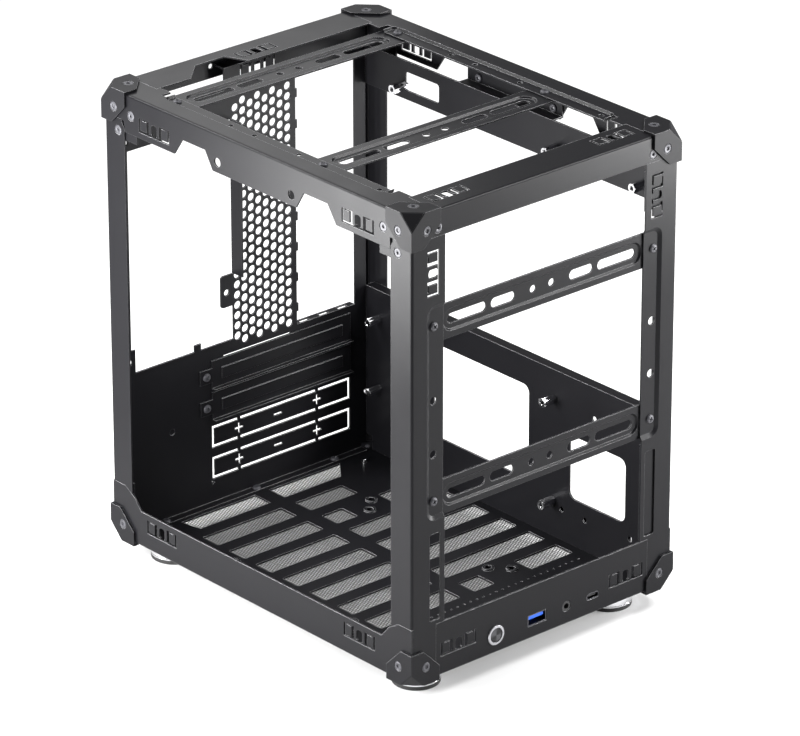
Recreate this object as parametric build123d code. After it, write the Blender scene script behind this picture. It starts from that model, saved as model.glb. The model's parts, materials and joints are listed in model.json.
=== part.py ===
from build123d import *
import math
import os

# Open-frame Micro-ATX tower case with its panels off, in millimetres.
# Seen from the front, X runs to the right, Y to the back and Z up. The feet stand on Z = 0.
# Every piece is drawn with the floor sheet's underside at Z = 0, and lifted by the foot height at the end.

# Board stand-offs, at the spacings of the board standard
STANDOFF_LENGTH = 10.0
STANDOFF_FLATS = 5.5
STANDOFF_STUD = 2.6
STANDOFF_BORE_RADIUS = 1.25
STANDOFF_BORE = 6.0
BOARD_MIDDLE_STEP = 154.94
BOARD_FRONT_STEP = 72.39
BOARD_TOP_SHIFT = 22.86
BOARD_TOP_STEP = 157.48
BOARD_LOW_STEP = 45.72
BOARD_LOWEST_STEP = 66.04

# Frame, whose depth and height follow from the board
WIDTH = 200.0
PANEL_INSET = 8.9
BOARD_PANEL_GAP = 12.1
BOARD_FRONT_MARGIN = 16.67
BOARD_MIDDLE_Z = 90.0
BOARD_TOP_MARGIN = 36.52
DEPTH = PANEL_INSET + BOARD_PANEL_GAP + BOARD_MIDDLE_STEP + BOARD_FRONT_STEP + BOARD_FRONT_MARGIN
BOARD_TOP_Z = BOARD_MIDDLE_Z + BOARD_TOP_STEP
HEIGHT = BOARD_TOP_Z + BOARD_TOP_MARGIN
SHEET = 1.0
BEND = 1.5
THROUGH = 3 * SHEET
HALF_W = WIDTH / 2
HALF_D = DEPTH / 2
BOARD_REAR_Y = HALF_D - PANEL_INSET - BOARD_PANEL_GAP

# Corner caps
CAP_SIDE = 21.3
CAP_WALL = 1.5
CAP_VERTEX_CUT = 9.5
CAP_FACE_CUT = 9.2
CAP_SCREW_INSET = 11.3
CAP_CLEARANCE = 0.2
CAP_CHAMFER_REACH = 0.72 * CAP_SIDE

# Flat screws of the caps
CAP_SCREW_HEAD_RADIUS = 2.8
CAP_SCREW_HEAD = 0.8
CAP_SCREW_LENGTH = CAP_WALL - CAP_SCREW_HEAD + 2 * SHEET
SCREW_RADIUS = 1.45
SCREW_CLEARANCE = 0.15
SCREW_HOLE_RADIUS = SCREW_RADIUS + SCREW_CLEARANCE
HEAD_CLEARANCE = 0.2
SOCKET_RADIUS = 1.1
SOCKET_DEPTH = 0.6

# Pan screws of the bars, covers and trays
PAN_HEAD_RADIUS = 2.6
PAN_HEAD = 1.4
PAN_LENGTH = 3.6
PAN_HEAD_ROUND = 0.56
PAN_SLOT_LENGTH = 2.86
PAN_SLOT_WIDTH = 0.6
PAN_SLOT_DEPTH = 0.6

# Posts
POST_SIDE = 17.4
POST_TOP_STEP_RUN = 3 * SHEET
POST_TOP_STEP_FALL = 5 * SHEET
POST_FRONT = 24.4
POST_REAR = 11.7
POST_FOOT_FRONT = 18.3
POST_TOP_FRONT_DROP = 15.7
POST_TOP_SIDE_DROP = 16.6
POST_FOOT_TAB_LENGTH = 38.0
POST_SLOT_INSET = 2.9
POST_SLOT_WIDTH = 8.0
POST_SLOT_LOW = 36.0
POST_SLOT_END = 8.0
POST_LATCH_INSET = 15.8
POST_LATCH_Z = HEIGHT - 36.7

# Pressed drive strip on the front posts
STRIP_LOW = 98.0
STRIP_HIGH = HEIGHT - 56.0
POST_SLOT_HIGH = STRIP_LOW - POST_SLOT_END
STRIP_WIDTH = 13.1
STRIP_DEPTH = 1.4
STRIP_SLOPE = 2.5
STRIP_CORNER = 6.0
STRIP_HOLE_INSET = 7.3
STRIP_HOLE_X = HALF_W - POST_FRONT + STRIP_HOLE_INSET
STRIP_OPEN_HOLE_RADIUS = 2.5
STRIP_OPEN_HOLES = (STRIP_HIGH - 57.6, STRIP_LOW + 39.8)

# Top rails
RAIL_FLANGE_SIDE = 21.0
RAIL_END_TRIM = 2.5
RAIL_FLANGE_FRONT = 23.5
RAIL_FLANGE_REAR = 24.7
RAIL_APRON_FRONT = 15.7
APRON_LOW = 23.5
APRON_HIGH = 12.9
APRON_GAP = 0.4
APRON_END = HALF_D - POST_SIDE - APRON_GAP
APRON_TOOTH = 36.1
APRON_STEP_IN = 42.6
APRON_STEP_OUT = HALF_D - 69.8
APRON_SHOULDER = HALF_D - 62.5
APRON_HOLE_Y = 31.9
APRON_HOLE_DROP = 17.3
APRON_HOLE_RADIUS = 2.75
LEDGE_END = 38.0
LEDGE_LENGTH = DEPTH - 2 * LEDGE_END
LEDGE_WIDTH = 8.7
LEDGE_DEPTH = 1.6
LEDGE_SLOPE = 1.0
LEDGE_CORNER = 4.0
LEDGE_HOLE_INSET = 4.3
LEDGE_HOLE_X = HALF_W - RAIL_FLANGE_SIDE + LEDGE_HOLE_INSET
LEDGE_OPEN_HOLES = (-19.2, 19.2, 39.8)
RELIEF_WIDTH = 3.8
RELIEF_DEPTH = 4.0
REAR_NOTCH = ((-56.3, 0.0), (-41.4, 14.2), (-19.0, 14.7), (-13.0, 0.0))
REAR_APRON_HOLE_X = -22.0
REAR_APRON_HOLE_DROP = 8.2

# Panel latch cut-outs
LATCH_WIDTH = 8.6
LATCH_TAB = 5.4
LATCH_SLIT = 1.3
LATCH_INNER_SLIT = 2.2
LATCH_NECK = 1.5
LATCH_NECK_SLIT = 0.8
LATCH_CHANNEL = 1.1
LATCH_TAB_OFFSET = 9.4
LATCH_EYE_RADIUS = 3.6
LATCH_EYE_WIDTH = 5.0
LATCH_SIDE_Y = HALF_D - 44.5
LATCH_SIDE_DROP = 15.5
LATCH_SIDE_LOW_Z = 15.0
LATCH_FRONT_X = HALF_W - 35.3
LATCH_FRONT_Z = 16.0
LATCH_TOP_X = HALF_W - 38.0
LATCH_TOP_INSET = 14.1
LATCH_REAR_X = 0.7
LATCH_REAR_INSET = 14.7

# Inner corner brackets and their rivets
BRACKET_SIDE = 26.5
BRACKET_FRONT = 23.5
BRACKET_LOW = 29.0
BRACKET_FRONT_LOW = 18.5
RIVET_RADIUS = 2.8
RIVET_HEAD = 0.4
RIVET_EYE_RADIUS = 0.9
RIVET_SHANK_RADIUS = 1.6
RIVET_RAIL_Y = HALF_D - 23.5
RIVET_RAIL_DROP = 12.3
RIVET_POST_Y = HALF_D - 11.7
RIVET_POST_DROP = 24.0
RIVET_FRONT_X = HALF_W - 19.4
RIVET_FRONT_DROP = 11.0

# Cross bars and drive bars
BAR_END = 4.7
BAR_HALF = LEDGE_HOLE_X + BAR_END
CROSSBAR_WIDTH = 22.5
CROSSBAR_Y = (HALF_D - 45.5, -39.8)
DRIVE_BAR_WIDTH = 21.4
DRIVE_BAR_Z = (STRIP_HIGH - 13.0, STRIP_LOW + 11.2)
BAR_CHANNEL_END = 8.3
BAR_CHANNEL = 2 * (LEDGE_HOLE_X - BAR_CHANNEL_END)
BAR_CHANNEL_WIDTH = 14.0
BAR_CHANNEL_DEPTH = 1.2
BAR_CHANNEL_SLOPE = 1.0
BAR_CORNER = 3.0
BAR_SLOT = 6.0
BAR_SLOT_OUTER = (BAR_CHANNEL / 2 - 33.0, BAR_CHANNEL / 2 - 4.0)
BAR_SLOT_INNER = (BAR_SLOT_OUTER[0] - 21.5, BAR_SLOT_OUTER[0] - 3.5)
BAR_HOLE_X = 7.0
BAR_HOLE_RADIUS = 2.25

# Base tray
BASE_SIDE_APRON = 22.9
BASE_SIDE_RISE = ((106.9, 22.9), (113.4, 30.4), (121.5, 35.0))
BASE_FRONT_APRON = 33.4
BASE_REAR_LIP = 10.0
WINDOW_ROWS = 8
WINDOW_PITCH = 24.2
WINDOW_HEIGHT = 14.4
WINDOW_FIRST_Y = HALF_D - 24.0
WINDOW_CORNER = 1.5
WINDOW_RIB = 5.5
WINDOW_LEFT = (33.5 - HALF_W, -WINDOW_RIB)
WINDOW_RIGHT = (WINDOW_RIB, HALF_W - 16.5)
FIRST_LEFT_TOP_X = WINDOW_LEFT[0] + 4.0
FIRST_LEFT_LOW_X = WINDOW_LEFT[0] + 6.7
FIRST_RIGHT_TOP_X = WINDOW_RIGHT[1] - 21.9
FIRST_RIGHT_LOW_X = WINDOW_RIGHT[1] - 33.5
SECOND_RIGHT_X = WINDOW_RIGHT[1] - 41.1
FAN_CENTRE = (-20.6, 1.4)
FAN_SPACINGS = (105.0, 124.5)
FAN_ROW_GAP = (FAN_CENTRE[0] + FAN_SPACINGS[0] / 2 - 10.4, FAN_CENTRE[0] + FAN_SPACINGS[1] / 2 + 8.15)
FAN_RING_RADIUS = 3.6
FAN_RING_HEIGHT = 1.0
FAN_HOLE_RADIUS = 2.2
VENT_ROW_GAP = 8.4
VENT_ROW_X = (-35.0, WINDOW_RIGHT[1] - 3.5)
VENT_ROW_PITCH = 5.0
VENT_ROW_RADIUS = 0.6
FLOOR_SCREW_X = (30.0 - HALF_W, 0.0, HALF_W - 38.0)
FLOOR_SCREW_Y = (37.5 - HALF_D, 0.0, HALF_D - 52.5)

# Dust filter
FILTER_SHEET = 0.5
FILTER_MARGIN = 4.0
FILTER_SLIT = 0.9
FILTER_SLITS = 6
FILTER_INSET = 1.0
FILTER_FOOT_CLEARANCE = 0.2

# Feet
FOOT_RADIUS = 14.3
FOOT_HEIGHT = 13.6
FOOT_X = HALF_W - 25.4
FOOT_Y = HALF_D - 24.8
FOOT_PAD_SHOW = 1.5
FOOT_PAD_HEIGHT = 4.0
FOOT_PAD_RIM = 0.9
FOOT_TOP = 2.5
FOOT_CAVITY_RADIUS = 11.0
FOOT_SCREW_LENGTH = 5.5
FOOT_CHAMFER = 0.5
FOOT_PAD_ROUND = 0.6

# Board plane, which the port opening and the slots line up with
TRAY_INSET = 10.0
TRAY_X = HALF_W - TRAY_INSET

# Power supply opening in the rear panel
SUPPLY_HOLE = (7.1 - HALF_W, 110.4)
SUPPLY_PATTERN = ((0.0, 0.0), (74.0, 24.0), (64.0, 138.0), (0.0, 138.0))
SUPPLY_HOLE_RADIUS = 1.9
SUPPLY_LEFT = SUPPLY_HOLE[0] + 1.4
SUPPLY_LOW = SUPPLY_HOLE[1] - 7.1
SUPPLY_TOP = SUPPLY_LOW + 139.9
SUPPLY_LOW_TAB = (SUPPLY_LEFT + 3.0, SUPPLY_HOLE[1] + 7.6)
SUPPLY_TAB_HOLE = (SUPPLY_HOLE[0] + SUPPLY_PATTERN[1][0], SUPPLY_HOLE[1] + SUPPLY_PATTERN[1][1])
SUPPLY_TAB_LEFT = SUPPLY_TAB_HOLE[0] - 4.4
SUPPLY_TAB_LOW = SUPPLY_TAB_HOLE[1] - 9.4
SUPPLY_TAB_HIGH = SUPPLY_TAB_HOLE[1] + 11.1
SUPPLY_TAB_ROOT = 14.0
SUPPLY_TAB_CORNER = 2.0

# Port opening in the rear panel
PORT_WIDTH = 44.45
PORT_HEIGHT = 158.75
PORT_BOARD_GAP = 8.85
PORT_BOTTOM = BOARD_MIDDLE_Z + 8.4
PORT_SHELF = 4.9
PORT_SHELF_SLOTS = (5.6, 21.1, 35.8)
PORT_SHELF_SLOT = 7.2
TOOTH_DEPTH = 1.3
TOOTH_HEIGHT = 5.4
TOOTH_PITCH = 19.6
TOOTH_TOP = PORT_BOTTOM + PORT_HEIGHT - 7.85

# Perforated strip between the two openings
STRIP_PANEL_RIGHT = TRAY_X - PORT_BOARD_GAP - PORT_WIDTH - TOOTH_DEPTH
STRIP_PANEL_LEFT = STRIP_PANEL_RIGHT - 49.4
STRIP_FLANGE_DEPTH = 8.8
PERFORATION_PITCH = 6.6
PERFORATION_RADIUS = 2.5
PERFORATION_COLUMNS = 8
PERFORATION_LEFT_X = STRIP_PANEL_LEFT + 3.4
PERFORATION_TOP_Z = SUPPLY_TOP + 6.3
PERFORATION_ROWS = 23

# Rest of the rear panel
PANEL_SIDE_CLEARANCE = 0.1
PANEL_TOP_DROP = 8.0
PANEL_FLANGE = 5.5
PANEL_FLANGE_LOW = 39.0
PANEL_TOP_FLANGE_LEFT = STRIP_PANEL_LEFT - 4.7
PANEL_CORNER_DROP = 22.0
PANEL_NOTCH = 4.0
PANEL_SLIT = (-22.0, 30.0)
PANEL_SLIT_WIDTH = 1.0
PANEL_SLIT_DROP = 4.0
PANEL_LATCH_X = 7.0
PANEL_LATCH_DROP = 13.4
PANEL_HOOK_X = (-44.0, -39.0)
PANEL_HOOK_RISE = 4.2
PANEL_DIMPLE = (-61.9, 56.8)
PANEL_DIMPLE_RADIUS = 2.0
PANEL_DIMPLE_DEPTH = 0.5
PANEL_EYE = (-31.5, 14.4)
PANEL_EYE_RADIUS = 1.6

# Expansion slots
SLOT_PITCH = 20.32
SLOT_FIRST_Z = BOARD_MIDDLE_Z - 66.0
SLOT_RIGHT = TRAY_X - 13.2
SLOT_LEFT = SLOT_RIGHT - 108.4
SLOT_OUTER_HEIGHT = 14.2
SLOT_SLIT = 1.8
SLOT_BRIDGES = (SLOT_LEFT + 21.0, SLOT_LEFT + 82.2)
SLOT_BRIDGE = 2.0
SLOT_MARK_LENGTH = 6.5
SLOT_MARK_WIDTH = 1.3
SLOT_DASH_X = SLOT_LEFT + 51.4
COVER_HEIGHT = 18.4
COVER_LIP = 3.0
COVER_RIB = 7.0
COVER_RIB_DEPTH = 0.8
COVER_TAB = 9.0

# Motherboard tray and band
TRAY_FRONT = HALF_D - 4.5
TRAY_TOP = BOARD_MIDDLE_Z + 18.5
TRAY_FLANGE = 6.0
TRAY_NOTCH = 10.0
TRAY_WINDOW_CORNER = 5.0
TRAY_REAR_WINDOW = (-22.0, 62.0, 30.0, 90.7)
TRAY_FRONT_WINDOW = (-104.8, -57.5, 31.0, 71.5)
TRAY_FRONT_FLANGE = 15.0
TRAY_FRONT_FLANGE_LOW = BASE_FRONT_APRON + 1.6
TRAY_FRONT_FLANGE_HIGH = STRIP_LOW - 3.0
TRAY_SMALL_HOLES = ((-78.0, 88.3), (-71.0, 21.0), (-51.0, 21.0), (-109.5, 22.7))
TRAY_SMALL_HOLE_RADIUS = 1.8
BAND_LOW = BOARD_TOP_Z - 8.28
BAND_HIGH = HEIGHT - 20.5
BAND_WINDOW = (58.0, 87.6, BAND_LOW + 5.8, BAND_LOW + 17.5)
BAND_WINDOW_CORNER = 2.0
BAND_TAB = (-39.0, 41.8)
BAND_TAB_TOP = HEIGHT - 12.5

# Front ports
PORT_Z = 11.4
BUTTON_X = -36.4
BEZEL_RADIUS = 6.1
BEZEL_RIM = 0.8
BEZEL_CHAMFER = 0.32
BARREL_RADIUS = 5.2
BARREL_LENGTH = 14.0
BARREL_CLEARANCE = 0.15
BUTTON_RADIUS = 4.3
BUTTON_BORE_CLEARANCE = 0.25
BUTTON_RECESS = 0.2
BUTTON_LENGTH = 5.0
BUTTON_TRAVEL = 1.2
BUTTON_STEM_RADIUS = 1.5
BUTTON_REST_GAP = 0.3
BUTTON_CHAMFER = 0.3
BUTTON_STEM_GUIDE = 3.0
BUTTON_STEM_ROOT = 0.5
NUT_FLATS = 13.0
NUT_THICKNESS = 2.2
USB_A_X = -4.5
USB_A_WIDTH = 14.0
USB_A_HEIGHT = 6.6
USB_A_LENGTH = 14.0
USB_A_LEG = 4.0
USB_A_TONGUE_LIFT = 0.2
USB_A_TONGUE = 2.0
USB_A_BLOCK = 3.0
TONGUE_INSET = 1.0
JACK_X = 18.3
JACK_RADIUS = 3.0
JACK_BORE_RADIUS = 1.8
JACK_BODY = 7.0
JACK_LENGTH = 12.0
JACK_NOSE = 2.0
JACK_BACK_WALL = 1.0
USB_C_X = 39.0
USB_C_WIDTH = 9.6
USB_C_HEIGHT = 3.6
USB_C_LENGTH = 9.0
USB_C_LEG = 3.0
USB_C_LEG_WIDTH = 4.0
USB_C_TONGUE_WIDTH = 6.0
USB_C_TONGUE = 0.7
SHELL_WALL = 0.4
PORT_CLEARANCE = 0.2
BOARD_LEFT = -18.0
BOARD_RIGHT = 54.0
BOARD_DEPTH = 20.0
BOARD_THICKNESS = 1.6
BOARD_FRONT_GAP = 2.0
BOARD_POST_RADIUS = 2.6
BOARD_POST_INSET = 4.0


def slab(x0, x1, y0, y1, z0, z1):
    """Box between six limits."""
    size = Box(x1 - x0, y1 - y0, z1 - z0)
    return Pos((x0 + x1) / 2, (y0 + y1) / 2, (z0 + z1) / 2) * size


def plane_at(normal, at):
    """Plane square to an axis: its u and v are Y, Z for x, X, Z for y, and X, Y for z."""
    if normal == "x":
        return Plane((at, 0, 0), x_dir=(0, 1, 0), z_dir=(1, 0, 0))
    if normal == "y":
        return Plane((0, at, 0), x_dir=(1, 0, 0), z_dir=(0, -1, 0))
    return Plane((0, 0, at), x_dir=(1, 0, 0), z_dir=(0, 0, 1))


def axis_of(normal):
    """Unit direction of an axis name."""
    return {"x": (1, 0, 0), "y": (0, 1, 0), "z": (0, 0, 1)}[normal]


def plate(normal, start, sketch, thickness=SHEET):
    """Flat plate of a sketch that starts on a plane and grows along its axis."""
    return extrude(plane_at(normal, start) * sketch, amount=thickness, dir=axis_of(normal))


def outline(*points):
    """Closed polygon through points, kept where they are."""
    return Polygon(*points, align=None)


def area(u0, u1, v0, v1):
    """Rectangle between four limits."""
    return Pos((u0 + u1) / 2, (v0 + v1) / 2) * Rectangle(u1 - u0, v1 - v0)


def rounded_area(u0, u1, v0, v1, radius):
    """Rectangle between four limits with rounded corners."""
    return Pos((u0 + u1) / 2, (v0 + v1) / 2) * RectangleRounded(u1 - u0, v1 - v0, radius)


def dots(centres, radius):
    """Round spots at given centres, as one sketch."""
    return Sketch() + [Pos(u, v) * Circle(radius) for u, v in centres]


def angle_section(leg_u, leg_v):
    """L-shaped sheet section with a bent corner at the origin and legs along u and v."""
    section = outline((0, 0), (leg_u, 0), (leg_u, SHEET), (SHEET, SHEET), (SHEET, leg_v), (0, leg_v))
    corner = section.vertices().sort_by_distance((0, 0, 0))[0]
    section = fillet(corner, BEND)
    inner = section.vertices().sort_by_distance((SHEET, SHEET, 0))[0]
    return fillet(inner, BEND - SHEET)


def angle_bar(corner, leg_u, along_u, leg_v, along_v, length):
    """Bent L section run from its corner point along u cross v."""
    run = Vector(*along_u).cross(Vector(*along_v))
    section = Plane(corner, x_dir=along_u, z_dir=run) * angle_section(leg_u, leg_v)
    return extrude(section, amount=length)


def mirrored_x(shape):
    """Copy on the other side of the middle, left to right."""
    return mirror(shape, about=Plane.YZ)


def mirrored_y(shape):
    """Copy on the other side of the middle, front to back."""
    return mirror(shape, about=Plane.XZ)


def pressed(sheet, mouth, well, normal, at, depth):
    """Press a sloping recess into a sheet: mouth outline at the surface, well outline at its depth."""
    direction = Vector(*axis_of(normal)) * (1 if depth > 0 else -1)
    top = plane_at(normal, at)
    bottom = plane_at(normal, at + depth)
    void = loft([(top * mouth).faces()[0], (bottom * well).faces()[0]], ruled=True)
    shift = direction * SHEET
    return sheet + Pos(shift.X, shift.Y, shift.Z) * void - void


def latch_cut(u, v, upright=False):
    """Cut-outs of one panel latch: two sprung tabs on necks, a round eye and a channel that links them."""
    half = LATCH_WIDTH / 2
    outer = LATCH_TAB / 2
    frame = area(-outer - LATCH_SLIT, outer + LATCH_INNER_SLIT, -half, half)
    tab = area(-outer, outer, LATCH_SLIT - half, half - LATCH_NECK_SLIT)
    neck = area(-outer, LATCH_NECK - outer, LATCH_SLIT - half, half)
    slot = Pos(-LATCH_TAB_OFFSET, 0) * (frame - tab - neck)
    eye = Circle(LATCH_EYE_RADIUS) & Rectangle(LATCH_EYE_WIDTH, LATCH_WIDTH)
    reach = LATCH_TAB_OFFSET - outer
    channel = area(-reach, reach, -half, LATCH_CHANNEL - half)
    cut = slot + mirrored_x(slot) + eye + channel
    return Pos(u, v) * Rot(0, 0, 90 if upright else 0) * cut


def flat_screw(head_radius, head_height, length):
    """Screw with a flush flat head and a hexagon socket, its head on top at Z = 0."""
    head = Cylinder(head_radius, head_height, align=(Align.CENTER, Align.CENTER, Align.MAX))
    shank = Cylinder(SCREW_RADIUS, length, align=(Align.CENTER, Align.CENTER, Align.MAX))
    socket = extrude(RegularPolygon(SOCKET_RADIUS, 6), amount=-SOCKET_DEPTH)
    return head + Pos(0, 0, -head_height) * shank - socket


def pan_screw(length=PAN_LENGTH):
    """Pan-head screw with its head standing on Z = 0 and its shank below."""
    head = Cylinder(PAN_HEAD_RADIUS, PAN_HEAD, align=(Align.CENTER, Align.CENTER, Align.MIN))
    head = fillet(head.edges().group_by(Axis.Z)[-1], PAN_HEAD_ROUND)
    shank = Cylinder(SCREW_RADIUS, length, align=(Align.CENTER, Align.CENTER, Align.MAX))
    slot = Box(PAN_SLOT_LENGTH, PAN_SLOT_WIDTH, 2 * PAN_SLOT_DEPTH)
    slot = slot + Box(PAN_SLOT_WIDTH, PAN_SLOT_LENGTH, 2 * PAN_SLOT_DEPTH)
    return head + shank - Pos(0, 0, PAN_HEAD) * slot


def facing(point, direction):
    """Location at a point whose own Z looks along a direction."""
    return Plane(point, z_dir=direction).location


def bore(point, direction, radius, length):
    """Round tool centred on a point, square to a direction."""
    return facing(point, direction) * Cylinder(radius, length)


# Corner caps

def corner_place(shape, sx, sy, sz):
    """Move a shape drawn inward from the origin into one of the eight corners of the frame."""
    if sx > 0:
        shape = mirror(shape, about=Plane.YZ)
    if sy > 0:
        shape = mirror(shape, about=Plane.XZ)
    if sz > 0:
        shape = mirror(shape, about=Plane.XY)
    top = HEIGHT + CAP_WALL if sz > 0 else -CAP_WALL
    return Pos(sx * (HALF_W + CAP_WALL), sy * (HALF_D + CAP_WALL), top) * shape


def vertex_tool(distance):
    """Half space that cuts the corner at the origin off at a distance measured square to the cut."""
    inward = Vector(1, 1, 1).normalized()
    place = Plane(inward * distance, z_dir=-inward)
    tool = Box(CAP_SIDE * 2, CAP_SIDE * 2, CAP_SIDE, align=(Align.CENTER, Align.CENTER, Align.MIN))
    return place.location * tool


def cap_cut_distance():
    """Distance from the corner point to the flat that cuts it off."""
    return CAP_VERTEX_CUT / math.sqrt(3)


def cap_shell():
    """Corner cap drawn inward from the origin: three plates, a cut corner and three screw seats."""
    side = Box(CAP_SIDE, CAP_SIDE, CAP_SIDE, align=(Align.MIN, Align.MIN, Align.MIN))
    outer = side - vertex_tool(cap_cut_distance())
    outer_edges = outer.edges().filter_by(lambda edge: edge.center().length < CAP_CHAMFER_REACH)
    outer = chamfer(outer_edges, CAP_CLEARANCE * 2)
    inner = Pos(CAP_WALL, CAP_WALL, CAP_WALL) * side - vertex_tool(cap_cut_distance() + CAP_WALL)
    shell = outer - inner
    cut = outline((CAP_SIDE, CAP_FACE_CUT), (CAP_FACE_CUT, CAP_SIDE), (CAP_SIDE, CAP_SIDE))
    for normal in "xyz":
        shell = shell - plate(normal, 0, cut, CAP_WALL)
        seat = dots([(CAP_SCREW_INSET, CAP_SCREW_INSET)], CAP_SCREW_HEAD_RADIUS + HEAD_CLEARANCE)
        hole = dots([(CAP_SCREW_INSET, CAP_SCREW_INSET)], SCREW_HOLE_RADIUS)
        shell = shell - plate(normal, 0, seat, CAP_SCREW_HEAD) - plate(normal, 0, hole, CAP_WALL)
    return shell


CORNERS = [(sx, sy, sz) for sz in (1, -1) for sy in (-1, 1) for sx in (-1, 1)]


def corner_name(sx, sy, sz):
    """Plain name of a corner, such as top_front_left."""
    level = "top" if sz > 0 else "bottom"
    end = "front" if sy < 0 else "rear"
    side = "left" if sx < 0 else "right"
    return level + "_" + end + "_" + side


def cap_screw_points():
    """Seat centres and outward directions of the three screws of each corner."""
    points = []
    for sx, sy, sz in CORNERS:
        x = sx * (HALF_W + CAP_WALL)
        y = sy * (HALF_D + CAP_WALL)
        z = HEIGHT + CAP_WALL if sz > 0 else -CAP_WALL
        inset = CAP_SCREW_INSET
        points.append(((x, y - sy * inset, z - sz * inset), (sx, 0, 0)))
        points.append(((x - sx * inset, y, z - sz * inset), (0, sy, 0)))
        points.append(((x - sx * inset, y - sy * inset, z), (0, 0, sz)))
    return points


def cap_screws():
    """The screws of all caps."""
    screw = flat_screw(CAP_SCREW_HEAD_RADIUS, CAP_SCREW_HEAD, CAP_SCREW_LENGTH)
    return [facing(point, direction) * screw for point, direction in cap_screw_points()]


def trim_corners(shape):
    """Take the eight corner points and the cap screw holes out of a frame piece."""
    reach = 2 * (CAP_SCREW_LENGTH + CAP_SCREW_HEAD + CAP_WALL)
    for sx, sy, sz in CORNERS:
        tool = vertex_tool(cap_cut_distance() + CAP_WALL + CAP_CLEARANCE)
        shape = shape - corner_place(tool, sx, sy, sz)
    for point, direction in cap_screw_points():
        shape = shape - bore(point, direction, SCREW_HOLE_RADIUS, reach)
    return shape


# Rivets of the inner corner brackets

def rivet_points():
    """Seat centres and outward directions of the bracket rivets."""
    points = []
    for side in (-1, 1):
        for end in (-1, 1):
            points.append(((side * HALF_W, end * RIVET_RAIL_Y, HEIGHT - RIVET_RAIL_DROP), (side, 0, 0)))
            points.append(((side * HALF_W, end * RIVET_POST_Y, HEIGHT - RIVET_POST_DROP), (side, 0, 0)))
            points.append(((side * RIVET_FRONT_X, end * HALF_D, HEIGHT - RIVET_FRONT_DROP), (0, end, 0)))
    return points


def rivets():
    """Flush rivets with a small eye in the head."""
    head = Cylinder(RIVET_RADIUS, RIVET_HEAD, align=(Align.CENTER, Align.CENTER, Align.MAX))
    shank = Cylinder(RIVET_SHANK_RADIUS, 2 * SHEET, align=(Align.CENTER, Align.CENTER, Align.MAX))
    rivet = head + shank - Cylinder(RIVET_EYE_RADIUS, 2 * RIVET_HEAD)
    return [facing(point, direction) * rivet for point, direction in rivet_points()]


def seat_rivets(shape):
    """Cut the rivet seats and holes into a frame piece."""
    for point, direction in rivet_points():
        place = facing(point, direction)
        shape = shape - place * Cylinder(RIVET_RADIUS + CAP_CLEARANCE, 2 * RIVET_HEAD)
        shape = shape - place * Cylinder(RIVET_SHANK_RADIUS, 4 * SHEET)
    return shape


# Top rails

def side_apron_cut():
    """Area taken off below a side rail: low near the corners and at the middle tooth, high between."""
    low = HEIGHT - APRON_LOW
    high = HEIGHT - APRON_HIGH
    end = HEIGHT - POST_TOP_SIDE_DROP
    half = [(0, low), (APRON_TOOTH, low), (APRON_STEP_IN, high), (APRON_STEP_OUT, high)]
    half += [(APRON_SHOULDER, low), (APRON_END, low), (APRON_END, end), (HALF_D + SHEET, end)]
    left = [(-y, z) for y, z in reversed(half)]
    bottom = HEIGHT - APRON_LOW - BEND
    return outline(*left, *half[1:], (HALF_D + SHEET, bottom), (-HALF_D - SHEET, bottom))


def apron_hole_points():
    """Round holes in the aprons of the side rails, as depth and height."""
    return [(y, HEIGHT - APRON_HOLE_DROP) for y in (-APRON_HOLE_Y, APRON_HOLE_Y)]


def side_rail():
    """Left top rail: full depth, with a shaped apron and a long pressed ledge for the cross bars."""
    corner = (-HALF_W, -HALF_D, HEIGHT)
    rail = angle_bar(corner, RAIL_FLANGE_SIDE, (1, 0, 0), APRON_LOW, (0, 0, -1), DEPTH)
    rail = rail - plate("x", -HALF_W - SHEET, side_apron_cut(), THROUGH)
    inner = -HALF_W + RAIL_FLANGE_SIDE
    mouth_edge = inner - LEDGE_WIDTH
    mouth = rounded_area(mouth_edge, inner + LEDGE_WIDTH, -LEDGE_LENGTH / 2, LEDGE_LENGTH / 2, LEDGE_CORNER)
    well = rounded_area(mouth_edge + LEDGE_SLOPE, inner + LEDGE_WIDTH - LEDGE_SLOPE,
                        -LEDGE_LENGTH / 2 + LEDGE_SLOPE, LEDGE_LENGTH / 2 - LEDGE_SLOPE,
                        LEDGE_CORNER - LEDGE_SLOPE)
    rail = pressed(rail, mouth, well, "z", HEIGHT, -LEDGE_DEPTH)
    depth = LEDGE_DEPTH + THROUGH
    rail = rail - slab(inner, inner + 2 * LEDGE_WIDTH, -HALF_D, HALF_D, HEIGHT - depth, HEIGHT)
    for end, flange in ((-1, RAIL_FLANGE_FRONT), (1, RAIL_FLANGE_REAR)):
        trim = area(inner - RAIL_END_TRIM, inner + SHEET, HALF_D - flange, HALF_D + SHEET)
        relief = area(inner - RAIL_END_TRIM - RELIEF_DEPTH, inner + SHEET,
                      LEDGE_LENGTH / 2, LEDGE_LENGTH / 2 + RELIEF_WIDTH)
        tool = plate("z", HEIGHT - depth, trim + relief, depth)
        rail = rail - (tool if end > 0 else mirrored_y(tool))
    rail = rail - plate("z", HEIGHT - depth, ledge_holes(), depth)
    latch_z = HEIGHT - LATCH_SIDE_DROP
    latches = latch_cut(-LATCH_SIDE_Y, latch_z) + latch_cut(LATCH_SIDE_Y, latch_z)
    eyes = dots(apron_hole_points(), APRON_HOLE_RADIUS)
    rail = rail - plate("x", -HALF_W - SHEET, latches + eyes, THROUGH)
    return trim_corners(seat_rivets(rail))


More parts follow.
